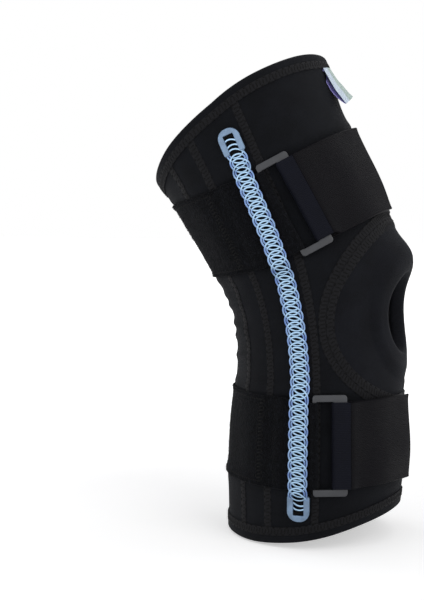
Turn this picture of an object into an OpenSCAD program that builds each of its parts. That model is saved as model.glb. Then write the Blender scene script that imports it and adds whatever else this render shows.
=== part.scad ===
/* [Knee bend] */
// Bend of the knee in the resting shape, in degrees
rest_bend = 23.5; // [15:0.5:30]
// Deepest knee bend that the sleeve follows, in degrees
flex_max = 90; // [70:1:95]
// Length along the leg over which the bend is spread
bend_len = 108; // [90:1:130]

/* [Leg shape: front, side and back radius of the sleeve] */
// At the bottom hem
calf_hem_r = [52, 55, 59]; // [45:1:90]
// At the lower strap
calf_r = [55, 56, 60]; // [45:1:90]
// Below the kneecap
knee_low_r = [53, 55, 56]; // [45:1:90]
// At the knee axis
knee_r = [57, 56, 53]; // [45:1:90]
// Above the kneecap
knee_high_r = [62, 59, 59]; // [45:1:90]
// At the upper strap
thigh_r = [60, 62, 66]; // [45:1:90]
// At the top hem
thigh_hem_r = [58, 65, 75]; // [45:1:95]
// Distance between these seven places along the leg
station_step = 45; // [40:1:54]
// How far the sleeve is pushed out above the kneecap
kneecap_bulge = 7; // [0:0.5:9]
// Height of that bulge above the knee axis
kneecap_bulge_v = 15; // [10:1:20]

/* [Sleeve] */
// Length from the knee axis up to the top hem, at mid height of its slope
thigh_len = 129; // [115:1:160]
// Length from the knee axis down to the bottom hem, at mid height of its slope
calf_len = 136; // [125:1:165]
// Rise of the top hem from its mid height to the front
top_slope = 17; // [5:1:20]
// Rise of the bottom hem from its mid height to the front
bottom_slope = 9.5; // [3:0.5:12]
// Thickness of the sleeve material
sleeve_t = 4; // [3:0.1:6]
// Height of the folded hems
hem_w = 8; // [6:0.5:12]
// How far the hem stands proud of the sleeve
hem_proud = 0.5; // [0.2:0.1:1]
// Gap at a sewn seam between two pieces
seam_gap = 0.4; // [0.3:0.05:0.6]

/* [Stays] */
// Angle of the stay's centre line round the leg, measured from the front
stay_u = 87.5; // [84:0.5:92]
// Top end of the stay above the knee axis
stay_top = 116.5; // [105:0.5:120]
// Bottom end of the stay below the knee axis
stay_bottom = 129; // [120:0.5:132]
// Width of the spiral stay
stay_w = 12; // [9:0.5:13]
// Thickness of the spiral stay
stay_t = 1.2; // [1:0.1:1.6]
// Width of the end cap
cap_w = 14; // [13:0.5:16]
// Length of the end cap
cap_l = 16; // [14:0.5:20]
// Thickness of the end cap
cap_t = 2; // [1.6:0.1:2.6]
// Length of the slot in the end cap
cap_slot_l = 6; // [4:0.5:8]
// Width of the slot in the end cap
cap_slot_w = 2.2; // [1.8:0.1:3]
// Width of the channel strip that carries the stay
channel_w = 31; // [26:1:36]
// Distance of the channel's middle behind the stay's centre line
channel_shift = 5; // [0:0.5:8]

/* [Kneecap opening] */
// Width of the opening round the front
opening_w = 46; // [36:1:56]
// Height of the opening
opening_h = 40; // [30:1:46]
// Height of the opening's centre, from the knee axis
opening_v = -12; // [-18:1:-6]
// Angle that the kneecap panel reaches to each side of the front
panel_u = 68; // [60:1:70]
// Reach of the kneecap panel above its widest line
panel_up = 51; // [45:1:52]
// Reach of the kneecap panel below its widest line
panel_down = 44; // [38:1:48]
// Height of the panel's widest line, from the knee axis
panel_v = -15; // [-18:1:-10]
// Thickness of the kneecap panel
panel_t = 2.2; // [1.5:0.1:3]
// Width of the foam ring round the opening
ring_w = 13; // [8:0.5:16]
// Thickness of the foam ring
ring_t = 3.5; // [2:0.5:6]

/* [Straps] */
// Height of the upper strap's centre line at the side, above the knee axis
upper_v = 57.5; // [55:0.5:62]
// Rise of the upper strap from the side to the front and to the back
upper_rise = 9.5; // [6:0.5:14]
// Height of the lower strap's centre line at the side, below the knee axis
lower_v = 81.5; // [80:0.5:88]
// Rise of the lower strap from the side to the front and to the back
lower_rise = 1.5; // [0:0.5:4]
// Width of the elastic straps
strap_w = 52; // [46:1:54]
// Width of the loop pile bands round the back
anchor_w = 56; // [52:1:58]
// Thickness of both kinds of band
strap_t = 1.2; // [1:0.1:1.5]
// Clearance between layers that lie on each other
layer_gap = 0.3; // [0.25:0.05:0.4]
// Angle at which the free end of a strap stops, measured from the front
tab_end_u = 5; // [3:1:20]
// Length of the hook patch under the free end
hook_l = 37; // [25:1:40]
// Thickness of the hook patch
hook_t = 0.8; // [0.6:0.1:1.2]
// How far the free end lifts off at its tip
tab_lift = 2.2; // [0:0.1:4]

/* [Buckles] */
// Thickness of the plastic of the loop buckle
buckle_t = 2.2; // [1.8:0.1:2.6]
// Width of the bars at the buckle's two ends
end_bar_w = 4.2; // [3.5:0.1:5]
// Clearance of the strap in the buckle's slot, both edges together
slot_clear = 1.5; // [1:0.1:2.5]
// Angle of the buckle's middle round the leg, measured from the front
buckle_u = 70; // [68.5:0.5:70.5]
// Width of the slot between the two long bars
slot_w = 10.8; // [9.5:0.1:11]
// Width of the bar that the strap folds over
fold_bar_w = 8; // [6:0.5:9]
// Radius of the buckle's corners
buckle_corner = 2; // [1.2:0.1:3]

/* [Cloth tag] */
// Width of the tag
tag_w = 20; // [10:1:26]
// Length of the tag
tag_l = 24; // [14:1:30]
// Thickness of the tag
tag_t = 0.6; // [0.4:0.1:1]
// How far the tag's free end stands off
tag_lift = 8; // [2:1:12]

/* [Hidden] */

// Material colours
sleeve_colour = [0.09, 0.10, 0.12];
panel_colour = [0.12, 0.13, 0.16];
pile_colour = [0.05, 0.05, 0.06];
elastic_colour = [0.10, 0.11, 0.15];
plastic_colour = [0.32, 0.32, 0.33];
wire_colour = [0.66, 0.76, 0.86];
cap_colour = [0.60, 0.68, 0.78];
foam_colour = [0.2, 0.2, 0.22];
thread_colour = [0.04, 0.04, 0.05];
tag_colour = [0.85, 0.88, 0.86];

// The leg's centre line: a circular arc through the origin, straight beyond it.
// The knee axis runs along X, 6 mm behind the origin, as a knee turns behind the leg's middle
bend_rho = bend_len / (rest_bend * PI / 180);
stations = [calf_hem_r, calf_r, knee_low_r, knee_r, knee_high_r, thigh_r, thigh_hem_r];
first_station = -3 * station_step;
bulge_spread = 13;
nominal_r = 57;

function lerp(a, b, t) = a + (b - a) * t;
function unit(p) = p / norm(p);
function clamp(x, lo, hi) = min(max(x, lo), hi);
function ease(t) = let (c = clamp(t, 0, 1)) c * c * (3 - 2 * c);
function deg_of(len) = len / nominal_r * 180 / PI;

function spline(a, b, c, d, t) =
    0.5 * (2 * b + (c - a) * t + (2 * a - 5 * b + 4 * c - d) * t * t + (3 * b - a - 3 * c + d) * t * t * t);
function station_r(k, v) =
    let (x = (v - first_station) / station_step, i = clamp(floor(x), 0, 5))
    spline(stations[max(i - 1, 0)][k], stations[i][k], stations[i + 1][k], stations[min(i + 2, 6)][k], x - i);

function tilt(v) = rest_bend / 2 + clamp(v, -bend_len / 2, bend_len / 2) / bend_rho * 180 / PI;
function centre(v) =
    let (f = tilt(v), f0 = rest_bend / 2, e = v - clamp(v, -bend_len / 2, bend_len / 2))
    [0, bend_rho * (cos(f0) - cos(f)) + e * sin(f), bend_rho * (sin(f) - sin(f0)) + e * cos(f)];
function bulge(u, v) = kneecap_bulge * exp(-pow((v - kneecap_bulge_v) / bulge_spread, 2)) * pow(max(cos(u), 0), 2);

// A point of the brace: u degrees round the leg from the front towards the lateral side,
// v millimetres along the leg from the knee axis, h millimetres outside the sleeve
function leg(u, v, h) =
    let (f = tilt(v), a = station_r(cos(u) > 0 ? 0 : 2, v) + bulge(u, v) + h, s = station_r(1, v) + h)
    centre(v) + a * cos(u) * [0, -cos(f), sin(f)] + s * sin(u) * [-1, 0, 0];

// Hems, and the edges of the thigh and calf pieces that leave the knee room to bend
function top_v(u) = thigh_len + top_slope * cos(u) + 6 * pow(sin(u), 2);
function bottom_v(u) = -calf_len + bottom_slope * cos(u) - 7 * pow(sin(u), 2);
bend_clear = 1.5;
front_half = (rest_bend + 4) / 2;
back_total = flex_max - rest_bend + 2.5;
back_thigh_half = back_total * 0.45;
back_calf_half = back_total * 0.55;
function bend_edge(u, half) =
    let (c = station_r(cos(u) > 0 ? 0 : 2, 0) * cos(u), q = 1 + c / bend_rho,
         v0 = (abs(c) * tan(half) + bend_clear) / q)
    ((abs(c) - sign(c) * v0 * v0 / bend_rho / 2) * tan(half) + bend_clear) / q;

// A closed solid between two grids of points of the same size
module shell(outer, inner, ring = false) {
    n = len(outer) - (ring ? 0 : 1);
    rows = len(outer);
    m = len(outer[0]) - 1;
    points = [for (g = [outer, inner]) for (row = g) for (p = row) p];
    function o(i, j) = (i % rows) * (m + 1) + j;
    function k(i, j) = rows * (m + 1) + o(i, j);
    faces = concat(
        [for (i = [0 : n - 1]) for (j = [0 : m - 1]) each [
            [o(i, j), o(i + 1, j), o(i + 1, j + 1)], [o(i, j), o(i + 1, j + 1), o(i, j + 1)],
            [k(i, j), k(i + 1, j + 1), k(i + 1, j)], [k(i, j), k(i, j + 1), k(i + 1, j + 1)]]],
        [for (i = [0 : n - 1]) each [
            [o(i + 1, 0), o(i, 0), k(i, 0)], [o(i + 1, 0), k(i, 0), k(i + 1, 0)],
            [o(i, m), o(i + 1, m), k(i + 1, m)], [o(i, m), k(i + 1, m), k(i, m)]]],
        ring ? [] : [for (j = [0 : m - 1]) each [
            [o(0, j), o(0, j + 1), k(0, j + 1)], [o(0, j), k(0, j + 1), k(0, j)],
            [o(n, j + 1), o(n, j), k(n, j)], [o(n, j + 1), k(n, j), k(n, j + 1)]]]);
    polyhedron(points, faces, convexity = 4);
}

// A piece of the sleeve between two edge lines, for a list of angles
module sleeve_piece(angles, low, high, rows, h_in, h_out, ring = false) {
    function grid(h) = [for (u = angles) [for (j = [0 : rows]) leg(u, lerp(low(u), high(u), j / rows), h)]];
    shell(grid(h_out), grid(h_in), ring);
}

// A band of even thickness whose middle surface is a grid of points
module ribbon(mid, t) {
    n = len(mid) - 1;
    m = len(mid[0]) - 1;
    function out(i, j) =
        unit(cross(mid[i][min(j + 1, m)] - mid[i][max(j - 1, 0)], mid[min(i + 1, n)][j] - mid[max(i - 1, 0)][j]));
    function grid(s) = [for (i = [0 : n]) [for (j = [0 : m]) mid[i][j] + s * t / 2 * out(i, j)]];
    shell(grid(1), grid(-1));
}
function steps(a, b, n) = [for (i = [0 : n]) lerp(a, b, i / n)];

// ---------------------------------------------------------------- sleeve
channel_mid = stay_u + deg_of(channel_shift);
channel_front = channel_mid - deg_of(channel_w / 2);
channel_back = channel_mid + deg_of(channel_w / 2);
seam_u = deg_of(seam_gap);
panel_gap = 0.8;
top_edge = function (u) top_v(u) - hem_w - seam_gap;
bottom_edge = function (u) bottom_v(u) + hem_w + seam_gap;
function panel_edge(u, reach) =
    let (x = u / (panel_u + deg_of(panel_gap))) abs(x) < 1 ? (reach + panel_gap) * sqrt(1 - x * x) : -1000;

front_angles = [for (i = [-13 : 13]) sign(i) * (1 - pow(1 - abs(i) / 13, 1.5)) * (channel_front - seam_u)];
back_angles = steps(channel_back + seam_u, 360 - channel_back - seam_u, 22);

module thigh_front_panel() {
    low = function (u) max(panel_v + panel_edge(u, panel_up), bend_edge(u, front_half));
    color(sleeve_colour) sleeve_piece(front_angles, low, top_edge, 8, -sleeve_t, 0);
}
module calf_front_panel() {
    high = function (u) min(panel_v - panel_edge(u, panel_down), -bend_edge(u, front_half));
    color(sleeve_colour) sleeve_piece(front_angles, bottom_edge, high, 7, -sleeve_t, 0);
}
module thigh_back_panel() {
    low = function (u) bend_edge(u, back_thigh_half) + seam_gap;
    color(sleeve_colour) sleeve_piece(back_angles, low, top_edge, 7, -sleeve_t, 0);
}
module calf_back_panel() {
    high = function (u) -bend_edge(u, back_calf_half) - seam_gap;
    color(sleeve_colour) sleeve_piece(back_angles, bottom_edge, high, 7, -sleeve_t, 0);
}
module popliteal_panel() {
    low = function (u) -bend_edge(u, back_calf_half);
    high = function (u) bend_edge(u, back_thigh_half);
    color(panel_colour) sleeve_piece(back_angles, low, high, 8, -sleeve_t + 1, 0);
}
hem_angles = [for (i = [0 : 47]) i * 7.5];
module top_hem() {
    low = function (u) top_v(u) - hem_w;
    high = function (u) top_v(u);
    color(sleeve_colour) sleeve_piece(hem_angles, low, high, 2, -sleeve_t, hem_proud, true);
}
module bottom_hem() {
    low = function (u) bottom_v(u);
    high = function (u) bottom_v(u) + hem_w;
    color(sleeve_colour) sleeve_piece(hem_angles, low, high, 2, -sleeve_t, hem_proud, true);
}

// Kneecap panel and the foam ring inside it, round the same oval opening
opening_u = deg_of(opening_w / 2);
panel_turns = [for (i = [0 : 43]) -i * 360 / 44];
function opening_rim(a, grow) =
    [(opening_u + deg_of(grow)) * cos(a), opening_v + (opening_h / 2 + grow) * sin(a)];
function panel_rim(a) = [panel_u * cos(a), panel_v + (sin(a) > 0 ? panel_up : panel_down) * sin(a)];
module patella_panel() {
    function grid(h) = [for (a = panel_turns) [for (j = [0 : 5])
        let (p = lerp(opening_rim(a, 0), panel_rim(a), j / 5)) leg(p.x, p.y, h)]];
    color(panel_colour) shell(grid(0), grid(-panel_t), true);
}
module patella_buttress() {
    top = -panel_t - 2 * layer_gap;
    function section(a, s) = [for (q = [[0.6, 0.3], [3.5, 0], [ring_w - 3.5, 0], [ring_w, 0.3]])
        let (p = opening_rim(a, q.x)) leg(p.x, p.y, top - (s == 1 ? q.y : 1 - q.y) * ring_t)];
    color(foam_colour) shell([for (a = panel_turns) section(a, 1)], [for (a = panel_turns) section(a, 0)], true);
}

// Channel strips down both sides; side is 1 for lateral and -1 for medial
module stay_channel(side) {
    angles = side > 0 ? steps(channel_front, channel_back, 4) : steps(-channel_back, -channel_front, 4);
    color(sleeve_colour) sleeve_piece(angles, bottom_edge, top_edge, 30, -sleeve_t, 0);
}
module lateral_stay_channel() { stay_channel(1); }
module medial_stay_channel() { stay_channel(-1); }

// ---------------------------------------------------------------- stays
two_layers = 2 * strap_t + layer_gap;
stay_low = layer_gap + 0.1;
stay_high = layer_gap + two_layers + 1;
ramp = 14;
function over_band(v, mid) = 1 - ease((abs(v - mid) - anchor_w / 2) / ramp);
function stay_h(v) = stay_low + (stay_high - stay_low) * max(over_band(v, upper_v), over_band(v, -lower_v));
stay_from = -stay_bottom + cap_l + layer_gap;
stay_to = stay_top - cap_l - layer_gap;
module stay_strip(side) {
    half = deg_of(stay_w / 2);
    angles = side > 0 ? steps(stay_u - half, stay_u + half, 2) : steps(-stay_u - half, -stay_u + half, 2);
    function grid(up) = [for (u = angles) [for (v = steps(stay_from, stay_to, 64)) leg(u, v, stay_h(v) + up)]];
    color(wire_colour) shell(grid(stay_t), grid(0));
}
module lateral_stay() { stay_strip(1); }
module medial_stay() { stay_strip(-1); }

// A flat frame on the leg: x towards the front along the skin, y outwards, z up the leg
function frame_at(u, v, side, du, dv) =
    let (o = leg(side * u, v, 0), z = unit(leg(side * u, v + dv, 0) - leg(side * u, v - dv, 0)),
         t = leg(side * (u - du), v, 0) - leg(side * (u + du), v, 0),
         x = unit(t - (t * z) * z), y = side * cross(x, z))
    [o, x, y, z];
module in_frame(f) {
    multmatrix([for (i = [0 : 2]) [f[1][i], f[2][i], f[3][i], f[0][i]]]) children();
}
function in_frame_pt(f, x, y, z) = f[0] + x * f[1] + y * f[2] + z * f[3];
flat_clear = 0.5;

function cap_frame(side, top) = frame_at(stay_u, top ? stay_top - cap_l / 2 : cap_l / 2 - stay_bottom, side, 5, 6);
module cap_outline() {
    square([cap_w, cap_l - cap_w / 2], center = false);
    translate([cap_w / 2, cap_l - cap_w / 2]) circle(r = cap_w / 2, $fn = 48);
}
module cap_slot(l, w) {
    translate([-(l - w) / 2, -w / 2]) square([l - w, w]);
    for (s = [-1, 1]) translate([s * (l - w) / 2, 0]) circle(r = w / 2, $fn = 24);
}
slot_from_tip = cap_w * 0.36;
module stay_cap(side, top) {
    in_frame(cap_frame(side, top)) translate([0, flat_clear + cap_t, 0]) rotate([90, 0, 0])
        rotate(top ? 0 : 180) linear_extrude(cap_t) difference() {
            translate([-cap_w / 2, -cap_l / 2]) cap_outline();
            translate([0, cap_l / 2 - slot_from_tip]) cap_slot(cap_slot_l, cap_slot_w);
        }
}
module cap_tack(side, top) {
    in_frame(cap_frame(side, top)) translate([0, cap_t + 0.9, 0]) rotate([90, 0, 0])
        rotate(top ? 0 : 180) translate([0, cap_l / 2 - slot_from_tip])
            linear_extrude(cap_t + 0.5) cap_slot(cap_slot_l - 2 * layer_gap, cap_slot_w - 2 * layer_gap);
}
module stay_top_caps() { color(cap_colour) for (side = [1, -1]) stay_cap(side, true); }
module stay_bottom_caps() { color(cap_colour) for (side = [1, -1]) stay_cap(side, false); }
module stay_top_tacks() { color(thread_colour) for (side = [1, -1]) cap_tack(side, true); }
module stay_bottom_tacks() { color(thread_colour) for (side = [1, -1]) cap_tack(side, false); }

// ---------------------------------------------------------------- straps and buckles
// Each strap is [height at the side, rise to the front and back]
upper = [upper_v, upper_rise];
lower = [-lower_v, lower_rise];
function strap_v(s, u) = s[0] + s[1] * pow(cos(u), 2);
function buckle_frame(s) = frame_at(buckle_u, strap_v(s, buckle_u), 1, 9, 26);
// The frame leans with the strap's slope
function strap_frame(s) =
    let (f = buckle_frame(s), a = atan2(s[1] * sin(2 * buckle_u), nominal_r))
    [f[0], cos(a) * f[1] + sin(a) * f[3], f[2], cos(a) * f[3] - sin(a) * f[1]];

bar_r = buckle_t / 2;
buckle_y = layer_gap + strap_t + layer_gap + bar_r - 0.1;
hinge_bar_x = -8;
fold_bar_x = hinge_bar_x + bar_r + slot_w;
buckle_right = fold_bar_x + fold_bar_w;
slot_l = strap_w + slot_clear;
buckle_l = slot_l + 2 * end_bar_w;
wrap_r = bar_r + layer_gap + strap_t / 2;

function band_row(s, u, w, h) = [for (k = [-1, -0.5, 0, 0.5, 1]) leg(u, strap_v(s, u) + k * w / 2, h)];
function frame_row(s, w, x, y) = [for (k = [-1, -0.5, 0, 0.5, 1]) in_frame_pt(strap_frame(s), x, y, k * w / 2)];
function anchor_width(u) = lerp(strap_w, anchor_w, ease((u - 84) / 16));
function frame_u(x) = buckle_u - deg_of(x);

on_sleeve = layer_gap + strap_t / 2;
seam_at = -(channel_front - 2);
return_to = 99;
function anchor_h(u) = on_sleeve + (strap_t + layer_gap) * (1 - ease((u - return_to - 1) / 6));
// The loop pile band comes round the back, turns round the buckle's bar and returns under itself
module strap_anchor(s) {
    rise_u = frame_u(hinge_bar_x - 3.2);
    over = concat([for (u = steps(360 + seam_at - seam_u, 108, 26)) band_row(s, u, anchor_width(u), anchor_h(u))],
                  [for (u = [103, 99, 95, 91, 87]) band_row(s, u, anchor_width(u), anchor_h(u))],
                  [band_row(s, rise_u, strap_w, anchor_h(rise_u) + 0.3)]);
    turn = [for (a = [162 : -22.5 : -108])
        frame_row(s, strap_w, hinge_bar_x + wrap_r * cos(a), buckle_y + wrap_r * sin(a))];
    under = [for (u = [85, 90, 95, return_to]) band_row(s, u, anchor_width(u) - 0.02, on_sleeve)];
    color(pile_colour) ribbon(concat(over, turn, under), strap_t);
}
module upper_strap_anchor() { strap_anchor(upper); }
module lower_strap_anchor() { strap_anchor(lower); }

// The elastic comes round the front, under the buckle's front bar
fold_start_x = buckle_right + 1.4;
strap_end_u = frame_u(fold_start_x + 1.2);
module elastic_strap(s) {
    color(elastic_colour)
        ribbon([for (u = steps(seam_at, strap_end_u, 24)) band_row(s, u, strap_w, on_sleeve)], strap_t);
}
module upper_strap() { elastic_strap(upper); }
module lower_strap() { elastic_strap(lower); }

// It turns up through the slot and over the bar
fold_x = fold_bar_x + bar_r;
top_y = buckle_y + wrap_r;
module strap_fold(s) {
    below = [band_row(s, frame_u(fold_start_x), strap_w, on_sleeve),
             frame_row(s, strap_w, buckle_right - 2, lerp(on_sleeve, buckle_y - wrap_r, 0.5) - 0.4)];
    turn = [for (a = [-90 : -22.5 : -270])
        frame_row(s, strap_w, fold_x + wrap_r * cos(a), buckle_y + wrap_r * sin(a))];
    above = [for (x = [buckle_right - 3, fold_start_x]) frame_row(s, strap_w, x, top_y)];
    color(elastic_colour) ribbon(concat(below, turn, above), strap_t);
}
module upper_strap_fold() { strap_fold(upper); }
module lower_strap_fold() { strap_fold(lower); }

// The free end lies back on the strap, held by the hook patch
tab_base = on_sleeve + strap_t + 2 * layer_gap + hook_t;
function tab_h(u) = tab_base + 2.4 * pow(max(u - 42, 0) / 13, 2) + tab_lift * pow(max(tab_end_u + 20 - u, 0) / 20, 2);
module strap_tab(s) {
    rows = concat([frame_row(s, strap_w, fold_start_x + 1.2, top_y - 0.05)],
                  [for (u = steps(strap_end_u - 5, tab_end_u, 16)) band_row(s, u, strap_w, tab_h(u))]);
    color(elastic_colour) ribbon(rows, strap_t);
}
module upper_tab() { strap_tab(upper); }
module lower_tab() { strap_tab(lower); }
module hook_patch(s) {
    drop = (strap_t + hook_t) / 2 + layer_gap;
    from = tab_end_u + 2;
    rows = [for (u = steps(from + deg_of(hook_l), from, 12)) band_row(s, u, strap_w - 4, tab_h(u) - drop)];
    color(pile_colour) ribbon(rows, hook_t);
}
module upper_hook_patch() { hook_patch(upper); }
module lower_hook_patch() { hook_patch(lower); }

module end_bar(s) {
    left = hinge_bar_x - bar_r;
    z0 = slot_l / 2;
    rotate(s > 0 ? 0 : 180) translate([s > 0 ? left : -buckle_right, z0]) {
        square([buckle_right - left, end_bar_w - buckle_corner]);
        translate([buckle_corner, 0]) square([buckle_right - left - 2 * buckle_corner, end_bar_w]);
        for (x = [buckle_corner, buckle_right - left - buckle_corner])
            translate([x, end_bar_w - buckle_corner]) circle(r = buckle_corner, $fn = 32);
    }
}
module loop_buckle(s) {
    color(plastic_colour) in_frame(strap_frame(s)) {
        translate([0, buckle_y + bar_r, 0]) rotate([90, 0, 0]) linear_extrude(buckle_t) {
            end_bar(1);
            end_bar(-1);
            translate([fold_x, -slot_l / 2 - 0.5]) square([buckle_right - fold_x, slot_l + 1]);
        }
        for (x = [hinge_bar_x, fold_x])
            translate([x, buckle_y, -slot_l / 2 - 0.5]) cylinder(r = bar_r, h = slot_l + 1, $fn = 32);
    }
}
module upper_buckle() { loop_buckle(upper); }
module lower_buckle() { loop_buckle(lower); }

// ---------------------------------------------------------------- tag
tag_u = -2;
tag_top = top_v(tag_u) - 6;
module cloth_tag() {
    half = deg_of(tag_w / 2);
    angles = steps(tag_u - half, tag_u + half, 4);
    function grid(up) = [for (u = angles) [for (t = steps(1, 0, 6))
        leg(u, tag_top - tag_l * t, hem_proud + layer_gap + tag_lift * pow(t, 1.6) + up)]];
    color(tag_colour) shell(grid(tag_t), grid(0));
}

thigh_front_panel();
thigh_back_panel();
top_hem();
patella_panel();
patella_buttress();
popliteal_panel();
lateral_stay_channel();
medial_stay_channel();
lateral_stay();
medial_stay();
stay_top_caps();
stay_top_tacks();
upper_strap_anchor();
upper_strap();
cloth_tag();
calf_front_panel();
calf_back_panel();
bottom_hem();
stay_bottom_caps();
stay_bottom_tacks();
lower_strap_anchor();
lower_strap();
upper_buckle();
upper_strap_fold();
upper_tab();
upper_hook_patch();
lower_buckle();
lower_strap_fold();
lower_tab();
lower_hook_patch();
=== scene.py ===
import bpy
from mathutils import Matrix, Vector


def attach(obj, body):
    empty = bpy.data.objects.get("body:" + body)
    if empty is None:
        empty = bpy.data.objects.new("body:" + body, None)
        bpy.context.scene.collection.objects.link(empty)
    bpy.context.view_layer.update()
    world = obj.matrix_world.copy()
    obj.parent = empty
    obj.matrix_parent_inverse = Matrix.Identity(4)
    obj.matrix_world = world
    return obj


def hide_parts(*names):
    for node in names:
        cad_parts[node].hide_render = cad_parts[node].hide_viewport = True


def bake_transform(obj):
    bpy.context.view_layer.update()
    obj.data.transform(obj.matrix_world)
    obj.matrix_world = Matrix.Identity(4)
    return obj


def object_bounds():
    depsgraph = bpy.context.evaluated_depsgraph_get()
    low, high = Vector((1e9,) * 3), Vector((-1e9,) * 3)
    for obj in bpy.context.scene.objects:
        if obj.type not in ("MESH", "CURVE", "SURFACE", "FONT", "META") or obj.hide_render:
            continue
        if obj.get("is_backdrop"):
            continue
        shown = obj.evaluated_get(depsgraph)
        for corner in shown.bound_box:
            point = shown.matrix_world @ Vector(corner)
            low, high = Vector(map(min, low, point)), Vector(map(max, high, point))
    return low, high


bl_info = {
    "name": "Knee Brace",
    "version": (1, 0, 0),
    "blender": (4, 5, 0),
    "location": "3D View > Sidebar > Knee Brace",
    "description": "Sews an open-kneecap knee sleeve with spiral stays and loop-buckle straps",
    "category": "Object",
}

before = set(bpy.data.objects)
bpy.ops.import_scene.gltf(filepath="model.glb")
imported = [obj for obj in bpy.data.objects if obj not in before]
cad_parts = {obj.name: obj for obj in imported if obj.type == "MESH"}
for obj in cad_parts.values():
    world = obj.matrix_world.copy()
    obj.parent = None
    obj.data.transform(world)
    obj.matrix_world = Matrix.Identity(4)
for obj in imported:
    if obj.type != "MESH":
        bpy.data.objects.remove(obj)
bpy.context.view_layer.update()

import math

import bmesh
import bpy
import numpy as np
from bpy.props import FloatProperty, FloatVectorProperty, IntProperty, PointerProperty
from mathutils import Matrix, Vector


MM = 0.001

# ------------------------------------------------------------------ shape, in millimetres and degrees
REST_BEND = 23.5
BEND_LENGTH = 108.0
BEND_RADIUS = BEND_LENGTH / math.radians(REST_BEND)
STATION_STEP = 45.0
# Front, side and back radius of the sleeve from the bottom hem to the top hem
STATIONS = np.array(
    [[52, 55, 59], [55, 56, 60], [53, 55, 56], [57, 56, 53], [62, 59, 59], [60, 62, 66], [58, 65, 75]],
    float,
)
KNEECAP_BULGE = 7.0
BULGE_MIDDLE = 15.0
BULGE_SPREAD = 13.0
# Each hem's height over the knee at the sides, its rise to the front and its rise to the sides
TOP_HEM = (129.0, 17.0, 6.0)
BOTTOM_HEM = (-136.0, 9.5, -7.0)
NOMINAL_RADIUS = 57.0
SLEEVE_THICKNESS = 4.0
HEM_WIDTH = 8.0
HEM_TUCK = 0.6
SEAM_GAP = 0.4
# Height over the knee, slope and depth of each crease in the knee hollow
CREASES = ((-27, 0.05, 0.9), (-15, -0.07, 1.1), (-3, 0.06, 1.25), (9, -0.05, 1.1), (21, 0.07, 0.8))
# The thigh end stands this far off the leg in front, rising between the two heights
FLARE = 3.4
FLARE_RISE = (108.0, 142.0)

STAY_ANGLE = 87.5
CHANNEL_FRONT = 76.95
CHANNEL_BACK = 108.1
BACK_SEAM = 129.0
STAY_TIPS = (-129.0, 116.5)
COIL_START = 6.2
# The stay's underside over the sleeve, and how far it rises over a band
STAY_LIFT = 0.4
STAY_RISE = 3.6
STAY_SLOPE = 9.0
CAP_LENGTH = 16.0
CAP_WIDTH = 14.0
CAP_THICKNESS = 2.0
CAP_SLOT = CAP_LENGTH / 2 - CAP_WIDTH * 0.36

# Height at the side and rise to the front and back of each strap
STRAP_LINES = {"upper": (57.5, 9.5), "lower": (-81.5, 1.5)}
LAYER_GAP = 0.3
ON_SLEEVE = 0.9
BAND_EDGE = 28.0
PRESSED_HALF = 27.0
BUCKLE_ANGLE = 70.0
BAR_RADIUS = 1.1
HINGE_BAR = -8.0
FOLD_BAR = 3.9
BUCKLE_RIGHT = 11.9
BUCKLE_HEIGHT = 2.8
SLOT_LENGTH = 53.5
END_BAR = 4.2
TAB_END = 5.0
HOOK_LENGTH = 37.0
HOOK_INSET = 2.0

PANEL_ANGLE = 68.0
PANEL_MIDDLE = -15.0
PANEL_UP = 51.0
PANEL_DOWN = 44.0
OPENING_HALF_WIDTH = 23.0
OPENING_MIDDLE = -12.0
OPENING_HALF_HEIGHT = 20.0

TAG_ANGLE = -2.0
TAG_DROP = 8.8
TAG_THICKNESS = 0.26


def degrees_of(width):
    """Angle round the leg that a width in millimetres takes up."""
    return math.degrees(width / NOMINAL_RADIUS)


def ease(low, high, x):
    """0 below low, 1 above high, and a smooth rise between."""
    t = np.clip((x - low) / (high - low), 0, 1)
    return t * t * (3 - 2 * t)


def hump(x, spread):
    """A smooth bump, 1 at 0 and almost gone at twice its spread."""
    return np.exp(-((x / spread) ** 2))


def station_radius(side, v):
    """The sleeve's radius at its front (0), side (1) or back (2), smoothly between the stations."""
    x = v / STATION_STEP + 3
    i = np.clip(np.floor(x), 0, 5).astype(int)
    t = x - i
    r = STATIONS[:, side]
    a, b, c, d = r[np.maximum(i - 1, 0)], r[i], r[i + 1], r[np.minimum(i + 2, 6)]
    square, cube = 2 * a - 5 * b + 4 * c - d, 3 * b - a - 3 * c + d
    return 0.5 * (2 * b + (c - a) * t + square * t**2 + cube * t**3)


def tilt(v):
    """Lean of the leg's middle line at a height v along it."""
    return math.radians(REST_BEND / 2) + np.clip(v, -BEND_LENGTH / 2, BEND_LENGTH / 2) / BEND_RADIUS


def centre(v):
    """The leg's middle line: straight, then an arc at the knee, then straight."""
    lean = tilt(v)
    level = math.radians(REST_BEND / 2)
    past = v - np.clip(v, -BEND_LENGTH / 2, BEND_LENGTH / 2)
    y = BEND_RADIUS * (math.cos(level) - np.cos(lean)) + past * np.sin(lean)
    z = BEND_RADIUS * (np.sin(lean) - math.sin(level)) + past * np.cos(lean)
    return np.stack([np.zeros_like(y), y, z], -1)


def on_leg(u, v, h):
    """u degrees round from the front towards the lateral side, v up the leg, h outside the sleeve."""
    u, v, h = np.broadcast_arrays(np.asarray(u, float), np.asarray(v, float), np.asarray(h, float))
    cos_u, sin_u = np.cos(np.radians(u)), np.sin(np.radians(u))
    front = np.where(cos_u > 0, station_radius(0, v), station_radius(2, v))
    bulge = KNEECAP_BULGE * hump(v - BULGE_MIDDLE, BULGE_SPREAD) * np.maximum(cos_u, 0) ** 2
    lean = tilt(v)
    a = (front + bulge + h) * cos_u
    s = (station_radius(1, v) + h) * sin_u
    return centre(v) + np.stack([-s, -a * np.cos(lean), a * np.sin(lean)], -1)


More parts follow.
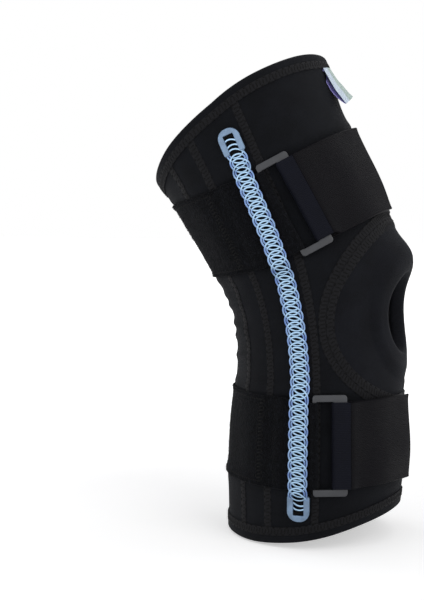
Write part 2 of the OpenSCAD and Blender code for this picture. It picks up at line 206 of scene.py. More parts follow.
def strap_height(name, u):
    """Height of a strap's middle line as it goes round the leg."""
    side, rise = STRAP_LINES[name]
    return side + rise * np.cos(np.radians(u)) ** 2


def from_front(u):
    """Angle from the front, the same on both sides, from 0 to 180."""
    return np.abs((np.asarray(u, float) + 180) % 360 - 180)


def relief(u, v):
    """The cloth is pressed in under the straps, full beside them and creased behind the knee."""
    side = from_front(u)
    loose = 1 - ease(36, 50, side) * (1 - ease(112, 126, side))
    swell = 0.0
    for name in STRAP_LINES:
        edge = np.abs(v - strap_height(name, u)) - PRESSED_HALF
        swell = swell + 0.75 * hump(edge - 5, 3.6) - 0.55 * loose * (1 - ease(-4, 1, edge))
    around = (np.asarray(u, float) % 360) - 180
    behind = ease(118, 140, side)
    for level, slope, depth in CREASES:
        line = level + slope * around + 2.2 * np.sin(around * 0.075 + level)
        swell = swell + behind * depth * (hump(v - line, 3.0) - 0.35)
    hang = 0.35 * np.sin(0.11 * around + 0.045 * v) * np.sin(0.083 * v - 0.05 * around)
    flare = FLARE * ease(*FLARE_RISE, v) * np.maximum(np.cos(np.radians(u)), 0) ** 2
    quiet = 1 - ease(96, 112, np.abs(v))
    return swell * (0.25 + 0.75 * quiet) + loose * hang * quiet + flare


def lay(u, v, h):
    """A point on the cloth as it lies, h outside its surface."""
    return on_leg(u, v, h + relief(u, v))


def hem_line(u, hem):
    """Height of a hem's edge as it goes round the leg."""
    middle, front, side = hem
    return middle + front * np.cos(np.radians(u)) + side * np.sin(np.radians(u)) ** 2


def top_edge(u):
    return hem_line(u, TOP_HEM)


def bottom_edge(u):
    return hem_line(u, BOTTOM_HEM)


# ------------------------------------------------------------------ meshes
JOIN_DISTANCE = 1e-6
TINY = 1e-9
# Metres of surface map along a wire for each turn of its coil
TURN = 0.02


def unit(vectors):
    """The same directions, 1 long."""
    return vectors / np.maximum(np.linalg.norm(vectors, axis=-1, keepdims=True), TINY)


def mesh_grid(rows, columns):
    """The four-sided faces of a grid of points."""
    i, j = np.meshgrid(np.arange(rows - 1), np.arange(columns - 1), indexing="ij")
    a = i * columns + j
    return np.stack([a, a + 1, a + columns + 1, a + columns], -1).reshape(-1, 4)


def swept(sections, uv, ring=True):
    """Skin over sections of the same size. A ring section closes on itself."""
    n, m = sections.shape[:2]
    if ring:
        sections = np.concatenate([sections, sections[:, :1]], 1)
        uv = np.concatenate([uv, uv[:, :1]], 1)
        i, j = np.meshgrid(np.arange(n - 1), np.arange(m), indexing="ij")
        a, b = i * m + j, i * m + (j + 1) % m
        faces = np.stack([a, b, b + m, a + m], -1).reshape(-1, 4)
        return sections[:, :m].reshape(-1, 3), faces, uv[:, :m].reshape(-1, 2)
    return sections.reshape(-1, 3), mesh_grid(n, m), uv.reshape(-1, 2)


def shell(outer, inner, uv, keep=None):
    """Two grids closed into one thick cloth. keep marks the outer points' cells that stay."""
    n, m = outer.shape[:2]
    faces = mesh_grid(n, m)
    if keep is not None:
        faces = faces[keep.reshape(-1)[faces].any(1)]
    starts, ends = faces, np.roll(faces, -1, 1)
    one_way = (starts * n * m + ends).reshape(-1)
    other_way = (ends * n * m + starts).reshape(-1)
    rim = ~np.isin(one_way, other_way)
    a, b = starts.reshape(-1)[rim], ends.reshape(-1)[rim]
    under = faces[:, ::-1] + n * m
    sides = np.stack([b, a, a + n * m, b + n * m], -1)
    faces = np.concatenate([faces, under, sides])
    points = np.concatenate([outer.reshape(-1, 3), inner.reshape(-1, 3)])
    uv = np.concatenate([uv.reshape(-1, 2)] * 2)
    used, faces = np.unique(faces, return_inverse=True)
    return points[used], faces.reshape(-1, 4), uv[used]


def gathered(parts):
    """Several skins as one."""
    points, faces, uvs, count = [], [], [], 0
    for p, f, uv in parts:
        points.append(p)
        faces.append(f + count)
        uvs.append(uv)
        count += len(p)
    return np.concatenate(points), np.concatenate(faces), np.concatenate(uvs)


def placed(name, thing):
    """A new object in the scene that holds a mesh, curve, lamp or camera."""
    made = bpy.data.objects.new(name, thing)
    bpy.context.scene.collection.objects.link(made)
    return made


def new_mesh(name, points, faces, uv, finish):
    """A mesh from points in millimetres, with its surface map in metres."""
    mesh = bpy.data.meshes.new(name)
    mesh.from_pydata((points * MM).tolist(), [], faces)
    layer = mesh.uv_layers.new(name="cloth")
    index = np.zeros(len(mesh.loops), np.int32)
    mesh.loops.foreach_get("vertex_index", index)
    layer.data.foreach_set("uv", uv[index].astype(np.float32).reshape(-1))
    mesh.materials.append(finish)
    return mesh


def make_piece(name, skin, finish):
    """A smooth piece from a skin: its points, its four-sided faces and its surface map."""
    points, faces, uv = skin
    mesh = new_mesh(name, points, faces.tolist(), uv, finish)
    mesh.polygons.foreach_set("use_smooth", np.ones(len(mesh.polygons), bool))
    mesh.validate()
    return placed(name, mesh)


def turn_outwards(piece):
    """Joins points in the same place and makes all faces look out of the piece."""
    work = bmesh.new()
    work.from_mesh(piece.data)
    bmesh.ops.remove_doubles(work, verts=work.verts, dist=JOIN_DISTANCE)
    bmesh.ops.recalc_face_normals(work, faces=work.faces)
    work.to_mesh(piece.data)
    work.free()


def finish_piece(piece, nodes=(), body=None):
    """Turns its faces outwards, hides the plain solids, and hangs the piece on its body or else bakes its
    place into its points.
    """
    turn_outwards(piece)
    if nodes:
        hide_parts(*nodes)
    if body is None:
        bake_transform(piece)
    else:
        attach(piece, body)
    return piece


def run_along(points):
    """How far along its line each point lies, from 0."""
    steps = np.linalg.norm(np.diff(points, axis=0), axis=1)
    return np.concatenate([[0], np.cumsum(steps)])


def evened(rows, step, passes=3):
    """Rows of points respaced along their path and softened, with both ends kept."""
    out = []
    for a, b in zip(rows[:-1], rows[1:]):
        count = max(1, int(round(np.linalg.norm(b - a, axis=-1).mean() / step)))
        out += [a + (b - a) * k / count for k in range(count)]
    out = np.array(out + [rows[-1]])
    for _ in range(passes):
        out[1:-1] = 0.25 * out[:-2] + 0.5 * out[1:-1] + 0.25 * out[2:]
    return out


def band(rows, thickness, noses=(0.8, 0.8)):
    """A webbing with soft edges round a middle surface. noses are the roundings of its two ends."""
    for end, beside in ((0, 1), (-1, -2)):
        extra = rows[end] + (rows[beside] - rows[end]) * 0.12
        rows = np.insert(rows, 1 if end == 0 else len(rows) - 1, extra, axis=0)
    along, across = np.gradient(rows, axis=0), np.gradient(rows, axis=1)
    along[0], along[-1] = rows[2] - rows[0], rows[-1] - rows[-3]
    out = unit(np.cross(across, along))
    half = thickness / 2
    left = rows[:, 0] - unit(across[:, 0]) * half * 0.8
    right = rows[:, -1] + unit(across[:, -1]) * half * 0.8
    top, low = rows + out * half, rows - out * half
    ring = np.concatenate([top, right[:, None], low[:, ::-1], left[:, None]], 1)
    tips = []
    for end, way, nose in ((0, -1, noses[0]), (-1, 1, noses[1])):
        tip = rows[end] + way * unit(along[end]) * half * nose
        tips.append(np.concatenate([tip, tip[-1:], tip[::-1], tip[:1]])[None])
    ring = np.concatenate([tips[0], ring, tips[1]])
    width = run_along(rows[len(rows) // 2])
    along = run_along(rows[:, rows.shape[1] // 2])
    along = np.concatenate([[along[0] - half], along, [along[-1] + half]])
    x = np.concatenate([width, [width[-1] + half], width[::-1], [-half]])
    uv = np.stack(np.broadcast_arrays(x[None, :], along[:, None]), -1) * MM
    return swept(ring, uv)


def width_places(count):
    """Places across a webbing from -1 to 1, close together at its edges."""
    inner = np.linspace(-0.93, 0.93, count)
    return np.concatenate([[-1, -0.985, -0.965], inner, [0.965, 0.985, 1]])


def strand(path, out, radius, flat=1.0, sides=6, phase=None):
    """A thread or wire along a path. flat is its height over its width, phase its angle round a coil."""
    way = unit(np.gradient(path, axis=0))
    across = unit(np.cross(way, out))
    up = unit(np.cross(across, way))
    angles = np.arange(sides) * 2 * math.pi / sides
    cos_a, sin_a = np.cos(angles)[None, :, None], np.sin(angles)[None, :, None]
    ring = across[:, None] * cos_a + up[:, None] * flat * sin_a
    sections = path[:, None] + radius * ring
    sections[0], sections[-1] = path[0], path[-1]
    along = run_along(path) if phase is None else phase / (2 * math.pi) * TURN / MM
    uv = np.stack(np.broadcast_arrays(radius * angles[None, :], along[:, None]), -1) * MM
    return swept(sections, uv)


def outward(u, v, h):
    """The direction straight out of the cloth."""
    return unit(lay(u, v, h + 1) - lay(u, v, h))


def spaced_line(line, step):
    """Points of a flat line of (u, v), at even steps in millimetres, and its sideways direction."""
    flat = np.stack([line[:, 0] / degrees_of(1), line[:, 1]], -1)
    run = run_along(flat)
    count = max(2, int(round(run[-1] / step)))
    s = np.linspace(0, run[-1], count + 1)
    p = np.stack([np.interp(s, run, flat[:, k]) for k in (0, 1)], -1)
    way = unit(np.gradient(p, axis=0))
    return p, np.stack([-way[:, 1], way[:, 0]], -1)


STITCH_DIVE = 0.5
STITCH_SHOULDER = 0.06
STITCH_SLANT = 0.45
TAPE_STEP = 1.6
TAPE_THICKNESS = 0.3
TAPE_OVERHANG = 0.35
# Middle of the tape under its bars, and how much it is crowned
TAPE_DEPTH = 0.22
TAPE_CROWN = 0.12


def sewn(points, height, thread, flat_share=1.0):
    """Thread through flat points that dives into the cloth at each one."""
    middles = (points[1:] + points[:-1]) / 2
    flat = np.empty((len(points) * 2 - 1, 2))
    flat[0::2], flat[1::2] = points, middles
    h = np.full(len(flat), height)
    h[0::2] = height - STITCH_DIVE
    quarter = (flat[1:] + flat[:-1]) / 2
    path = np.empty((len(flat) * 2 - 1, 2))
    path[0::2], path[1::2] = flat, quarter
    high = np.empty(len(path))
    high[0::2] = h
    high[1::2] = height - STITCH_SHOULDER
    u, v = path[:, 0] * degrees_of(1), path[:, 1]
    return strand(lay(u, v, high), outward(u, v, high), thread, flat_share, sides=6)


def ladder(line, height, stitches):
    """A flat seam along a line of (u, v): bars of thread across it, joined along its edges."""
    p, sideways = spaced_line(line, stitches.stitch_length / MM)
    turn = np.where(np.arange(len(p)) % 2 == 0, 1, -1)[:, None]
    reach = turn * sideways * stitches.stitch_width / MM / 2
    slant = np.stack([-sideways[:, 1], sideways[:, 0]], -1) * STITCH_SLANT * np.sign(reach[:, :1] + TINY)
    points = np.stack([p - reach - slant, p + reach + slant], 1).reshape(-1, 2)
    return sewn(points, height, stitches.thread_size / MM / 2, 0.55)


def seam_tape(line, height, stitches):
    """The loose threads that fill a flat seam under its bars."""
    p, sideways = spaced_line(line, TAPE_STEP)
    places = np.linspace(-1, 1, 7)
    half = stitches.stitch_width / MM / 2 + TAPE_OVERHANG
    flat = p[:, None] + sideways[:, None] * places[None, :, None] * half
    high = height - TAPE_DEPTH + TAPE_CROWN * np.cos(places * math.pi / 2)[None, :] + 0 * flat[..., 0]
    return band(lay(flat[..., 0] * degrees_of(1), flat[..., 1], high), TAPE_THICKNESS)


def straight_stitch(line, height, stitches):
    """A plain seam along a line of (u, v)."""
    p, _ = spaced_line(line, stitches.stitch_length / MM * 0.9)
    return sewn(p, height, stitches.thread_size / MM / 3)


# ------------------------------------------------------------------ finishes
class Nodes:
    """A tree of shader nodes that are added and joined one by one."""

    def __init__(self, tree):
        self.tree = tree

    def node(self, kind, settings=None, **inputs):
        made = self.tree.nodes.new(kind)
        for key, value in (settings or {}).items():
            setattr(made, key, value)
        for key, value in inputs.items():
            self.join(value, made.inputs[int(key[1:]) if key[0] == "i" and key[1:].isdigit() else key])
        return made

    def join(self, value, socket):
        if isinstance(value, bpy.types.NodeSocket):
            self.tree.links.new(value, socket)
        else:
            socket.default_value = value

    def math(self, operation, a, b=0.0):
        return self.node("ShaderNodeMath", {"operation": operation}, i0=a, i1=b).outputs[0]

    def seen_directly(self):
        """1 for what the camera sees straight, in a reflection or through something clear."""
        path = self.node("ShaderNodeLightPath").outputs
        seen = self.math("MAXIMUM", path["Is Camera Ray"], path["Is Transmission Ray"])
        return self.math("MAXIMUM", seen, path["Is Glossy Ray"])


class Finish(Nodes):
    """A material with its surface and the patterns that its finishes are made of."""

    def __init__(self, name):
        self.material = bpy.data.materials.new(name)
        self.material.use_nodes = True
        super().__init__(self.material.node_tree)
        self.surface = self.tree.nodes["Principled BSDF"]

    def place(self):
        """The place of each point in its piece."""
        return self.node("ShaderNodeTexCoord").outputs["Object"]

    def noise(self, scale, detail=2.0, roughness=0.5):
        details = {"Scale": scale, "Detail": detail, "Roughness": roughness}
        return self.node("ShaderNodeTexNoise", Vector=self.place(), **details).outputs["Fac"]

    def cells(self, scale):
        return self.node("ShaderNodeTexVoronoi", Vector=self.place(), Scale=scale).outputs["Distance"]

    def cloth_map(self):
        """The places across and along the cloth, in metres."""
        uv = self.node("ShaderNodeUVMap", {"uv_map": "cloth"}).outputs[0]
        split = self.node("ShaderNodeSeparateXYZ", Vector=uv)
        return split.outputs[0], split.outputs[1]

    def wave(self, place, pitch):
        """A smooth wave from 0 to 1 that repeats every pitch metres."""
        turned = self.math("MULTIPLY", place, 2 * math.pi / pitch)
        return self.math("MULTIPLY_ADD", self.math("SINE", turned), 0.5)

    def blend(self, factor, low, high):
        mix = self.node("ShaderNodeMix", {"data_type": "RGBA"})
        self.join(factor, mix.inputs[0])
        self.join(low, mix.inputs[6])
        self.join(high, mix.inputs[7])
        return mix.outputs[2]

    def range(self, value, low, high, start=0.0, end=1.0):
        """low where the value is start, high where it is end, and a straight run between."""
        made = self.node("ShaderNodeMapRange", i0=value, i1=start, i2=end, i3=low, i4=high)
        return made.outputs[0]

    def colour(self, value):
        self.join(value, self.surface.inputs["Base Color"])

    def set(self, **values):
        """Sets the surface's inputs, with _ for the spaces in their names."""
        for key, value in values.items():
            self.join(value, self.surface.inputs[key.replace("_", " ")])

    def bump(self, height, depth, strength=1.0):
        """Relief of a depth in metres."""
        made = self.node("ShaderNodeBump", Height=height, Distance=depth, Strength=strength)
        self.join(made.outputs["Normal"], self.surface.inputs["Normal"])

    def sheen(self, weight, tint, roughness=0.5):
        self.set(Sheen_Weight=weight, Sheen_Tint=tint + (1.0,), Sheen_Roughness=roughness)


def shade(colour, amount):
    """A colour made lighter or darker."""
    return tuple(min(1.0, c * amount) for c in tuple(colour)[:3]) + (1.0,)


def knitted(name, colour, settings, glow=0.008):
    """Fine jersey: columns of small V stitches, with soft mottling and a faint nap."""
    made = Finish(name)
    x, y = made.cloth_map()
    column = made.math("FRACT", made.math("DIVIDE", x, settings.knit_width))
    leg = made.math("ABSOLUTE", made.math("SUBTRACT", column, 0.5))
    course = made.math("DIVIDE", y, settings.knit_height)
    phase = made.math("ADD", course, made.math("MULTIPLY", leg, 1.1))
    loop = made.math("SINE", made.math("MULTIPLY", phase, 2 * math.pi))
    groove = made.math("POWER", made.math("MULTIPLY", leg, 2.0), 6.0)
    height = made.math("SUBTRACT", made.math("MULTIPLY", loop, 0.5), groove)
    fuzz = made.noise(2600.0, 3.0, 0.6)
    height = made.math("ADD", height, made.math("MULTIPLY", fuzz, 1.3))
    made.bump(height, settings.knit_depth, 0.8)
    mottle = made.range(made.noise(60.0, 5.0, 0.6), 0.0, 1.0, 0.35, 0.65)
    base = made.blend(mottle, shade(colour, 0.72), shade(colour, 1.3))
    nap = made.range(fuzz, 0.0, 0.55, 0.45, 0.75)
    made.colour(made.blend(nap, base, shade(colour, 2.0)))
    made.set(Roughness=0.8, Specular_IOR_Level=0.1)
    made.sheen(glow, (0.55, 0.62, 0.78), 0.42)
    return made.material


def piled(name, colour):
    """Brushed loop pile: deep, uneven and very dark, with stray lighter loops."""
    made = Finish(name)
    loops = made.cells(950.0)
    clump = made.noise(330.0, 4.0, 0.65)
    height = made.math("ADD", made.math("MULTIPLY", loops, -0.9), made.math("MULTIPLY", clump, 1.4))
    made.bump(height, 0.0007, 1.0)
    stray = made.range(made.noise(520.0, 2.0, 0.7), 0.0, 1.0, 0.56, 0.74)
    mottle = made.range(clump, 0.0, 1.0, 0.38, 0.66)
    base = made.blend(mottle, shade(colour, 0.5), shade(colour, 1.25))
    made.colour(made.blend(stray, base, shade(colour, 3.2)))
    made.set(Roughness=0.95, Specular_IOR_Level=0.1)
    made.sheen(0.015, (0.6, 0.64, 0.72), 0.6)
    return made.material


def elastic_webbing(name, colour, settings):
    """Elastic tape: fine cords along it and smaller picks across. Given the fold colour, it is painted
    lighter and bluer where it turns round the buckle, a painted highlight.
    """
    made = Finish(name)
    x, y = made.cloth_map()
    cords = made.wave(x, settings.rib_pitch)
    picks = made.wave(y, settings.rib_pitch * 0.62)
    offset = made.math("MULTIPLY", made.math("SUBTRACT", cords, 0.5), made.math("SUBTRACT", picks, 0.5))
    height = made.math("ADD", made.math("MULTIPLY", cords, 0.75), made.math("MULTIPLY", offset, 1.6))
    height = made.math("ADD", height, made.math("MULTIPLY", made.noise(1500.0), 0.35))
    made.bump(height, 0.00022, 0.9)
    tone = made.range(made.noise(45.0, 4.0), 0.0, 1.0, 0.35, 0.65)
    base = made.blend(tone, shade(colour, 0.85), shade(colour, 1.2))
    made.colour(made.blend(made.range(cords, 0.0, 0.4), base, shade(colour, 1.7)))
    made.set(Roughness=made.range(tone, 0.46, 0.58), Specular_IOR_Level=0.05)
    made.sheen(0.004, (0.45, 0.5, 0.95), 0.3)
    return made.material


def hooked(name, colour):
    """Stiff hook tape: rows of tiny hooks on a woven ground."""
    made = Finish(name)
    x, y = made.cloth_map()
    hooks = made.math("MULTIPLY", made.wave(x, 0.0009), made.wave(y, 0.0011))
    made.bump(made.math("ADD", hooks, made.math("MULTIPLY", made.noise(900.0), 0.3)), 0.0005, 1.0)
    made.colour(made.blend(hooks, shade(colour, 0.6), shade(colour, 2.2)))
    made.set(Roughness=0.55)
    return made.material


def moulded(name, colour):
    """Moulded plastic: satin skin with a fine spark texture and slightly rubbed high spots."""
    made = Finish(name)
    grain = made.noise(1900.0, 3.0, 0.55)
    made.bump(grain, 0.00005, 0.6)
    cloud = made.range(made.noise(90.0, 4.0, 0.6), 0.0, 1.0, 0.4, 0.68)
    made.colour(made.blend(cloud, shade(colour, 0.9), shade(colour, 1.16)))
    made.set(Roughness=made.range(cloud, 0.38, 0.52), Specular_IOR_Level=0.5)
    return made.material


def rolled_steel(name, colour, bright):
    """Rolled spring wire in blue, with a painted highlight, a lighter colour, where its strands cross the
    coil's middle, and drawn lines along it.
    """
    made = Finish(name)
    x, y = made.cloth_map()
    across, along = made.math("MULTIPLY", x, 9000.0), made.math("MULTIPLY", y, 350.0)
    drawn = made.node("ShaderNodeCombineXYZ", i0=across, i1=along).outputs[0]
    lines = made.node("ShaderNodeTexNoise", Vector=drawn, Scale=1.0, Detail=2.0).outputs["Fac"]
    dull = made.range(made.noise(240.0, 3.0), 0.0, 1.0, 0.4, 0.7)
    # Painted highlight: the wire turns towards the lighter colour where its strands cross the coil's middle,
    # less so in random dull patches.
    turned = made.math("COSINE", made.math("MULTIPLY", y, 4 * math.pi / TURN))
    crossing = made.math("MULTIPLY_ADD", turned, -0.5)
    crossing = made.math("ADD", crossing, made.math("MULTIPLY", dull, -0.35))
    share = made.range(crossing, 0.0, 1.0, -0.25, 0.4)
    made.colour(made.blend(share, shade(colour, 1.0), tuple(bright)))
    made.set(Metallic=1.0, Roughness=made.range(lines, 0.2, 0.42))
    made.bump(lines, 0.00002, 0.5)
    return made.material


def coated_metal(name, colour):
    """Dipped coating over a crimped cap: soft gloss, thinner and brighter in places."""
    made = Finish(name)
    cloud = made.noise(150.0, 4.0, 0.6)
    made.bump(made.noise(700.0, 3.0), 0.00012, 0.5)
    mottle = made.range(cloud, 0.0, 1.0, 0.38, 0.66)
    made.colour(made.blend(mottle, shade(colour, 0.82), shade(colour, 1.2)))
    made.set(Metallic=0.35, Roughness=made.range(cloud, 0.26, 0.46, 0.3, 0.7))
    return made.material


def twisted_thread(name, colour):
    """Sewing thread: a fine twist and a soft shine."""
    made = Finish(name)
    x, y = made.cloth_map()
    twist = made.wave(made.math("ADD", y, made.math("MULTIPLY", x, 1.6)), 0.0006)
    made.bump(twist, 0.00008, 0.8)
    made.colour(made.blend(twist, shade(colour, 0.6), shade(colour, 1.5)))
    made.set(Roughness=0.75, Specular_IOR_Level=0.15)
    return made.material


def foam_cover(name, colour):
    """Closed-cell foam under thin tricot."""
    made = Finish(name)
    cells = made.cells(1400.0)
    made.bump(cells, 0.00015, 0.7)
    mottle = made.range(cells, 0.0, 1.0, 0.1, 0.6)
    made.colour(made.blend(mottle, shade(colour, 0.6), shade(colour, 1.2)))
    made.set(Roughness=0.9)
    return made.material


def woven_satin(name, colour, settings, border, share):
    """Woven tag: satin threads, faint creases and a paler border along its outer edge."""
    made = Finish(name)
    x, y = made.cloth_map()
    weave = made.math("MULTIPLY", made.wave(x, 0.00035), made.wave(y, 0.0004))
    crease = made.noise(420.0, 4.0, 0.65)
    made.bump(made.math("ADD", made.math("MULTIPLY", weave, 0.3), crease), 0.0004, 0.8)
    mottle = made.range(crease, 0.0, 1.0, 0.4, 0.66)
    tone = made.blend(mottle, shade(colour, 0.82), shade(colour, 1.1))
    edge = made.math("GREATER_THAN", x, settings.tag_width - settings.tag_border * share)
    tone = made.blend(edge, tone, tuple(border))
    made.colour(tone)
    made.set(Roughness=0.5)
    made.sheen(0.15, (0.9, 0.95, 1.0), 0.4)
    return made.material


FINISHES = {}


def finish_for(key, maker, *details):
    """Each finish is made once and shared."""
    if key not in FINISHES:
        FINISHES[key] = maker(key, *details)
    return FINISHES[key]


def sewing_thread(context):
    # The thread's near-black colour is partly its own and partly painted shade of the seams' dents.
    return finish_for("thread", twisted_thread, context.scene.knee_brace.sleeve.thread_and_shade_colour)


# ------------------------------------------------------------------ settings
def length(name, description, default):
    """A size in metres."""
    limits = {"min": 0.0, "unit": "LENGTH", "precision": 5}
    return FloatProperty(name=name, description=description, default=default, **limits)


def colour(name, description, default):
    """A colour from its red, green and blue."""
    limits = {"size": 4, "min": 0.0, "max": 1.0, "subtype": "COLOR"}
    return FloatVectorProperty(name=name, description=description, default=default + (1.0,), **limits)


def turn(name, description, degrees):
    """An angle, given in degrees."""
    default = math.radians(degrees)
    return FloatProperty(name=name, description=description, default=default, subtype="ANGLE")


def offset(name, description, default):
    """A length in metres that may be below 0."""
    return FloatProperty(name=name, description=description, default=default, unit="LENGTH")


def steps(name, description, default, most):
    """A whole number of things."""
    return IntProperty(name=name, description=description, default=default, min=1, max=most)


class SleeveSettings(bpy.types.PropertyGroup):
    """Cloth, hems and seams."""

    cloth_colour: colour("Sleeve", "Colour of the sleeve cloth", (0.0042, 0.0047, 0.0064))
    panel_colour: colour("Kneecap panel", "Colour of the kneecap panel", (0.0056, 0.0061, 0.0084))
    foam_colour: colour("Foam", "Colour of the foam ring", (0.02, 0.02, 0.023))
    # Near black and darker than the cloth: partly the thread's own dark colour, partly painted shade of the
    # dents that the stitches press into the cloth.
    thread_and_shade_colour: colour("Thread", "Colour of the seams", (0.0012, 0.0012, 0.0016))
    fill_colour: colour("Seam fill", "Colour of the threads between the bars", (0.0070, 0.0070, 0.0086))
    knit_width: length("Stitch width", "Width of one column of the knit", 0.0009)
    knit_height: length("Stitch height", "Height of one row of the knit", 0.0007)
    knit_depth: length("Stitch depth", "Relief of the knit", 0.00016)
    cell: length("Mesh cell", "Size of the sleeve's mesh cells", 0.0015)
    ring_height: length("Ring height", "How far the padded ring stands over the panel", 0.0026)
    stitch_length: length("Seam stitch length", "Distance between two bars of a seam", 0.0022)
    stitch_width: length("Seam stitch width", "Width of a seam's bars", 0.0042)
    thread_size: length("Thread", "Width of the flattened sewing thread", 0.0010)
    hem_roll: length("Hem roll", "How far the hem stands proud of the sleeve", 0.0005)
    puff_frames: steps("Padding steps", "Steps of the padding's simulation", 16, 40)
    puff_height: length("Padding swell", "Most that the padding swells in the simulation", 0.0009)


class StaySettings(bpy.types.PropertyGroup):
    """Spiral stays and their caps."""

    wire_colour: colour("Wire", "Colour of the spring wire", (0.12, 0.19, 0.40))
    # Painted highlight: the lighter colour of the wire where its strands cross the coil's middle.
    crossing_highlight_colour: colour("Bright wire", "Colour of the wire where it crosses", (0.32, 0.47, 0.63))
    cap_colour: colour("Cap", "Colour of the end caps", (0.18, 0.27, 0.40))
    coil_width: length("Coil width", "Width over the coils", 0.0126)
    coil_pitch: length("Coil pitch", "Distance between two turns of one wire", 0.0063)
    loop_reach: length("Loop reach", "Half height of one flattened loop", 0.0042)
    loop_inset: length("Inner loops", "How far the closed loops stay inside the open ones", 0.00135)
    loop_lean: length("Loop lean", "How far one edge of the coil runs ahead of the other", 0.0008)
    twin_gap: length("Coil offset", "How far the second coil is off the first one's middle", 0.00035)
    wire_width: length("Wire width", "Width of the rolled wire", 0.00118)
    wire_height: length("Wire height", "Height of the rolled wire", 0.00055)
    window: length("Cap window", "Width of the cap's open middle", 0.0066)
    cap_round: length("Cap rounding", "Rounding of the cap's edges", 0.0005)


class StrapSettings(bpy.types.PropertyGroup):
    """Loop pile bands and elastic straps."""

    elastic_colour: colour("Elastic", "Colour of the elastic", (0.0042, 0.0040, 0.0052))
    # Painted highlight: the elastic's colour made lighter and bluer for the fold round the buckle, where
    # light catches it.
    fold_highlight_colour: colour("Fold", "Colour of the elastic stretched at the buckle", (0.0066, 0.0072, 0.0118))
    pile_colour: colour("Loop pile", "Colour of the loop pile", (0.0031, 0.0034, 0.0046))
    hook_colour: colour("Hook tape", "Colour of the hook tape", (0.012, 0.012, 0.014))
    strap_width: length("Strap width", "Width of the elastic strap", 0.052)
    band_width: length("Band width", "Width of the loop pile band", 0.056)
    thickness: length("Thickness", "Thickness of both kinds of band", 0.0012)
    hook_thickness: length("Hook tape", "Thickness of the hook tape", 0.0008)
    rib_pitch: length("Rib pitch", "Distance between the elastic's cords", 0.0011)
    tab_lift: length("Tab lift", "How far the free end lifts at its tip", 0.0022)
    loops: steps("Pile loops", "Loose loops on each pile band", 3600, 8000)
    loop_height: length("Pile height", "Height of a loose loop", 0.0005)


class BuckleSettings(bpy.types.PropertyGroup):
    """Loop buckles."""

    plastic_colour: colour("Plastic", "Colour of the buckles", (0.035, 0.037, 0.043))
    corner: length("Corner", "Radius of the buckle's corners", 0.002)
    edge: length("Edge", "Rounding of the bars' edges", 0.00055)


class TagSettings(bpy.types.PropertyGroup):
    """Folded cloth tag inside the top hem."""

    tag_colour: colour("Tag", "Colour of the tag's front", (0.50, 0.64, 0.60))
    border_colour: colour("Border", "Colour of the front's border", (0.68, 0.80, 0.95))
    back_colour: colour("Back", "Colour of the tag's back layer", (0.004, 0.004, 0.12))
    back_border: colour("Back border", "Colour of the back layer's border", (0.30, 0.27, 0.66))
    tag_width: length("Width", "Width of the tag", 0.020)
    tag_length: length("Length", "Length of the tag", 0.0245)
    tag_border: length("Border width", "Width of the woven border", 0.0029)
    tag_lift: length("Lift", "How far the free end stands off", 0.0078)
    leaf_gap: length("Leaf gap", "Widest gap between the tag's two layers", 0.0025)


class StageSettings(bpy.types.PropertyGroup):
    """Floor, lamps and camera."""

    floor_colour: colour("Floor", "Colour of the floor", (0.86, 0.86, 0.87))
    lamp_level: FloatProperty(name="Lamps", description="Level of all lamps", default=0.3, min=0.0)
    room_level: FloatProperty(name="Room", description="Level of the light all round", default=0.32, min=0.0)
    heading: turn("Heading", "Side that the camera looks from", -75.0)
    height: turn("Height", "How far the camera looks down", 4.0)
    roll: turn("Roll", "Turn of the picture", 0.84)
    distance: length("Distance", "From the camera to the knee", 0.82)
    aim_side: offset("Aim aside", "Aim right of the knee", -0.0656)
    aim_up: offset("Aim up", "Aim above the knee", 0.0025)
    lens: FloatProperty(name="Lens", description="Focal length in millimetres", default=75.7, min=1.0)


class KneeBraceSettings(bpy.types.PropertyGroup):
    """All sizes and colours of the brace."""

    sleeve: PointerProperty(type=SleeveSettings)
    stays: PointerProperty(type=StaySettings)
    straps: PointerProperty(type=StrapSettings)
    buckles: PointerProperty(type=BuckleSettings)
    tag: PointerProperty(type=TagSettings)
    stage: PointerProperty(type=StageSettings)


# ------------------------------------------------------------------ sleeve
SLEEVE_LENGTH = 265.0
# Closer cells beside each seam, in degrees from it
SEAM_STEPS = np.array([0.3, 0.7, 1.2])
CHANNEL_PROUD = 0.12
# The sleeve's front goes under the panel by this share of the panel's size
PANEL_COVER = 0.85


def seam_dip(u, edges):
    """The cloth rolls down into the seam at each of these angles."""
    dip = 0.0
    for edge in edges:
        gap = np.abs(np.asarray(u, float) - edge) / degrees_of(1)
        dip = dip + 0.5 * hump(gap, 1.1)
    return dip


def cloth_between(low_u, high_u, settings, proud=0.0, keep=None):
    """A thick piece of the sleeve from the bottom hem to the top hem."""
    cell = settings.cell / MM
    columns = int((high_u - low_u) / degrees_of(1) / cell) + 1
    u = np.linspace(low_u, high_u, columns)
    u = np.unique(np.concatenate([u, low_u + SEAM_STEPS, high_u - SEAM_STEPS]))[:, None]
    t = np.linspace(0, 1, int(SLEEVE_LENGTH / cell))[None, :]
    low, high = bottom_edge(u) + HEM_WIDTH - HEM_TUCK, top_edge(u) - HEM_WIDTH + HEM_TUCK
    v = low + (high - low) * t
    u = u + 0 * v
    outer = lay(u, v, proud - seam_dip(u, (low_u, high_u)))
    inner = lay(u, v, -SLEEVE_THICKNESS + 0.2 * seam_dip(u, (low_u, high_u)))
    uv = np.stack([u / degrees_of(1), v], -1) * MM
    return shell(outer, inner, uv, None if keep is None else keep(u, v))


def outside_panel(u, v):
    """Marks the points that the kneecap panel doesn't cover."""
    reach = np.where(v > PANEL_MIDDLE, PANEL_UP, PANEL_DOWN)
    return (u / PANEL_ANGLE) ** 2 + ((v - PANEL_MIDDLE) / reach) ** 2 > PANEL_COVER**2


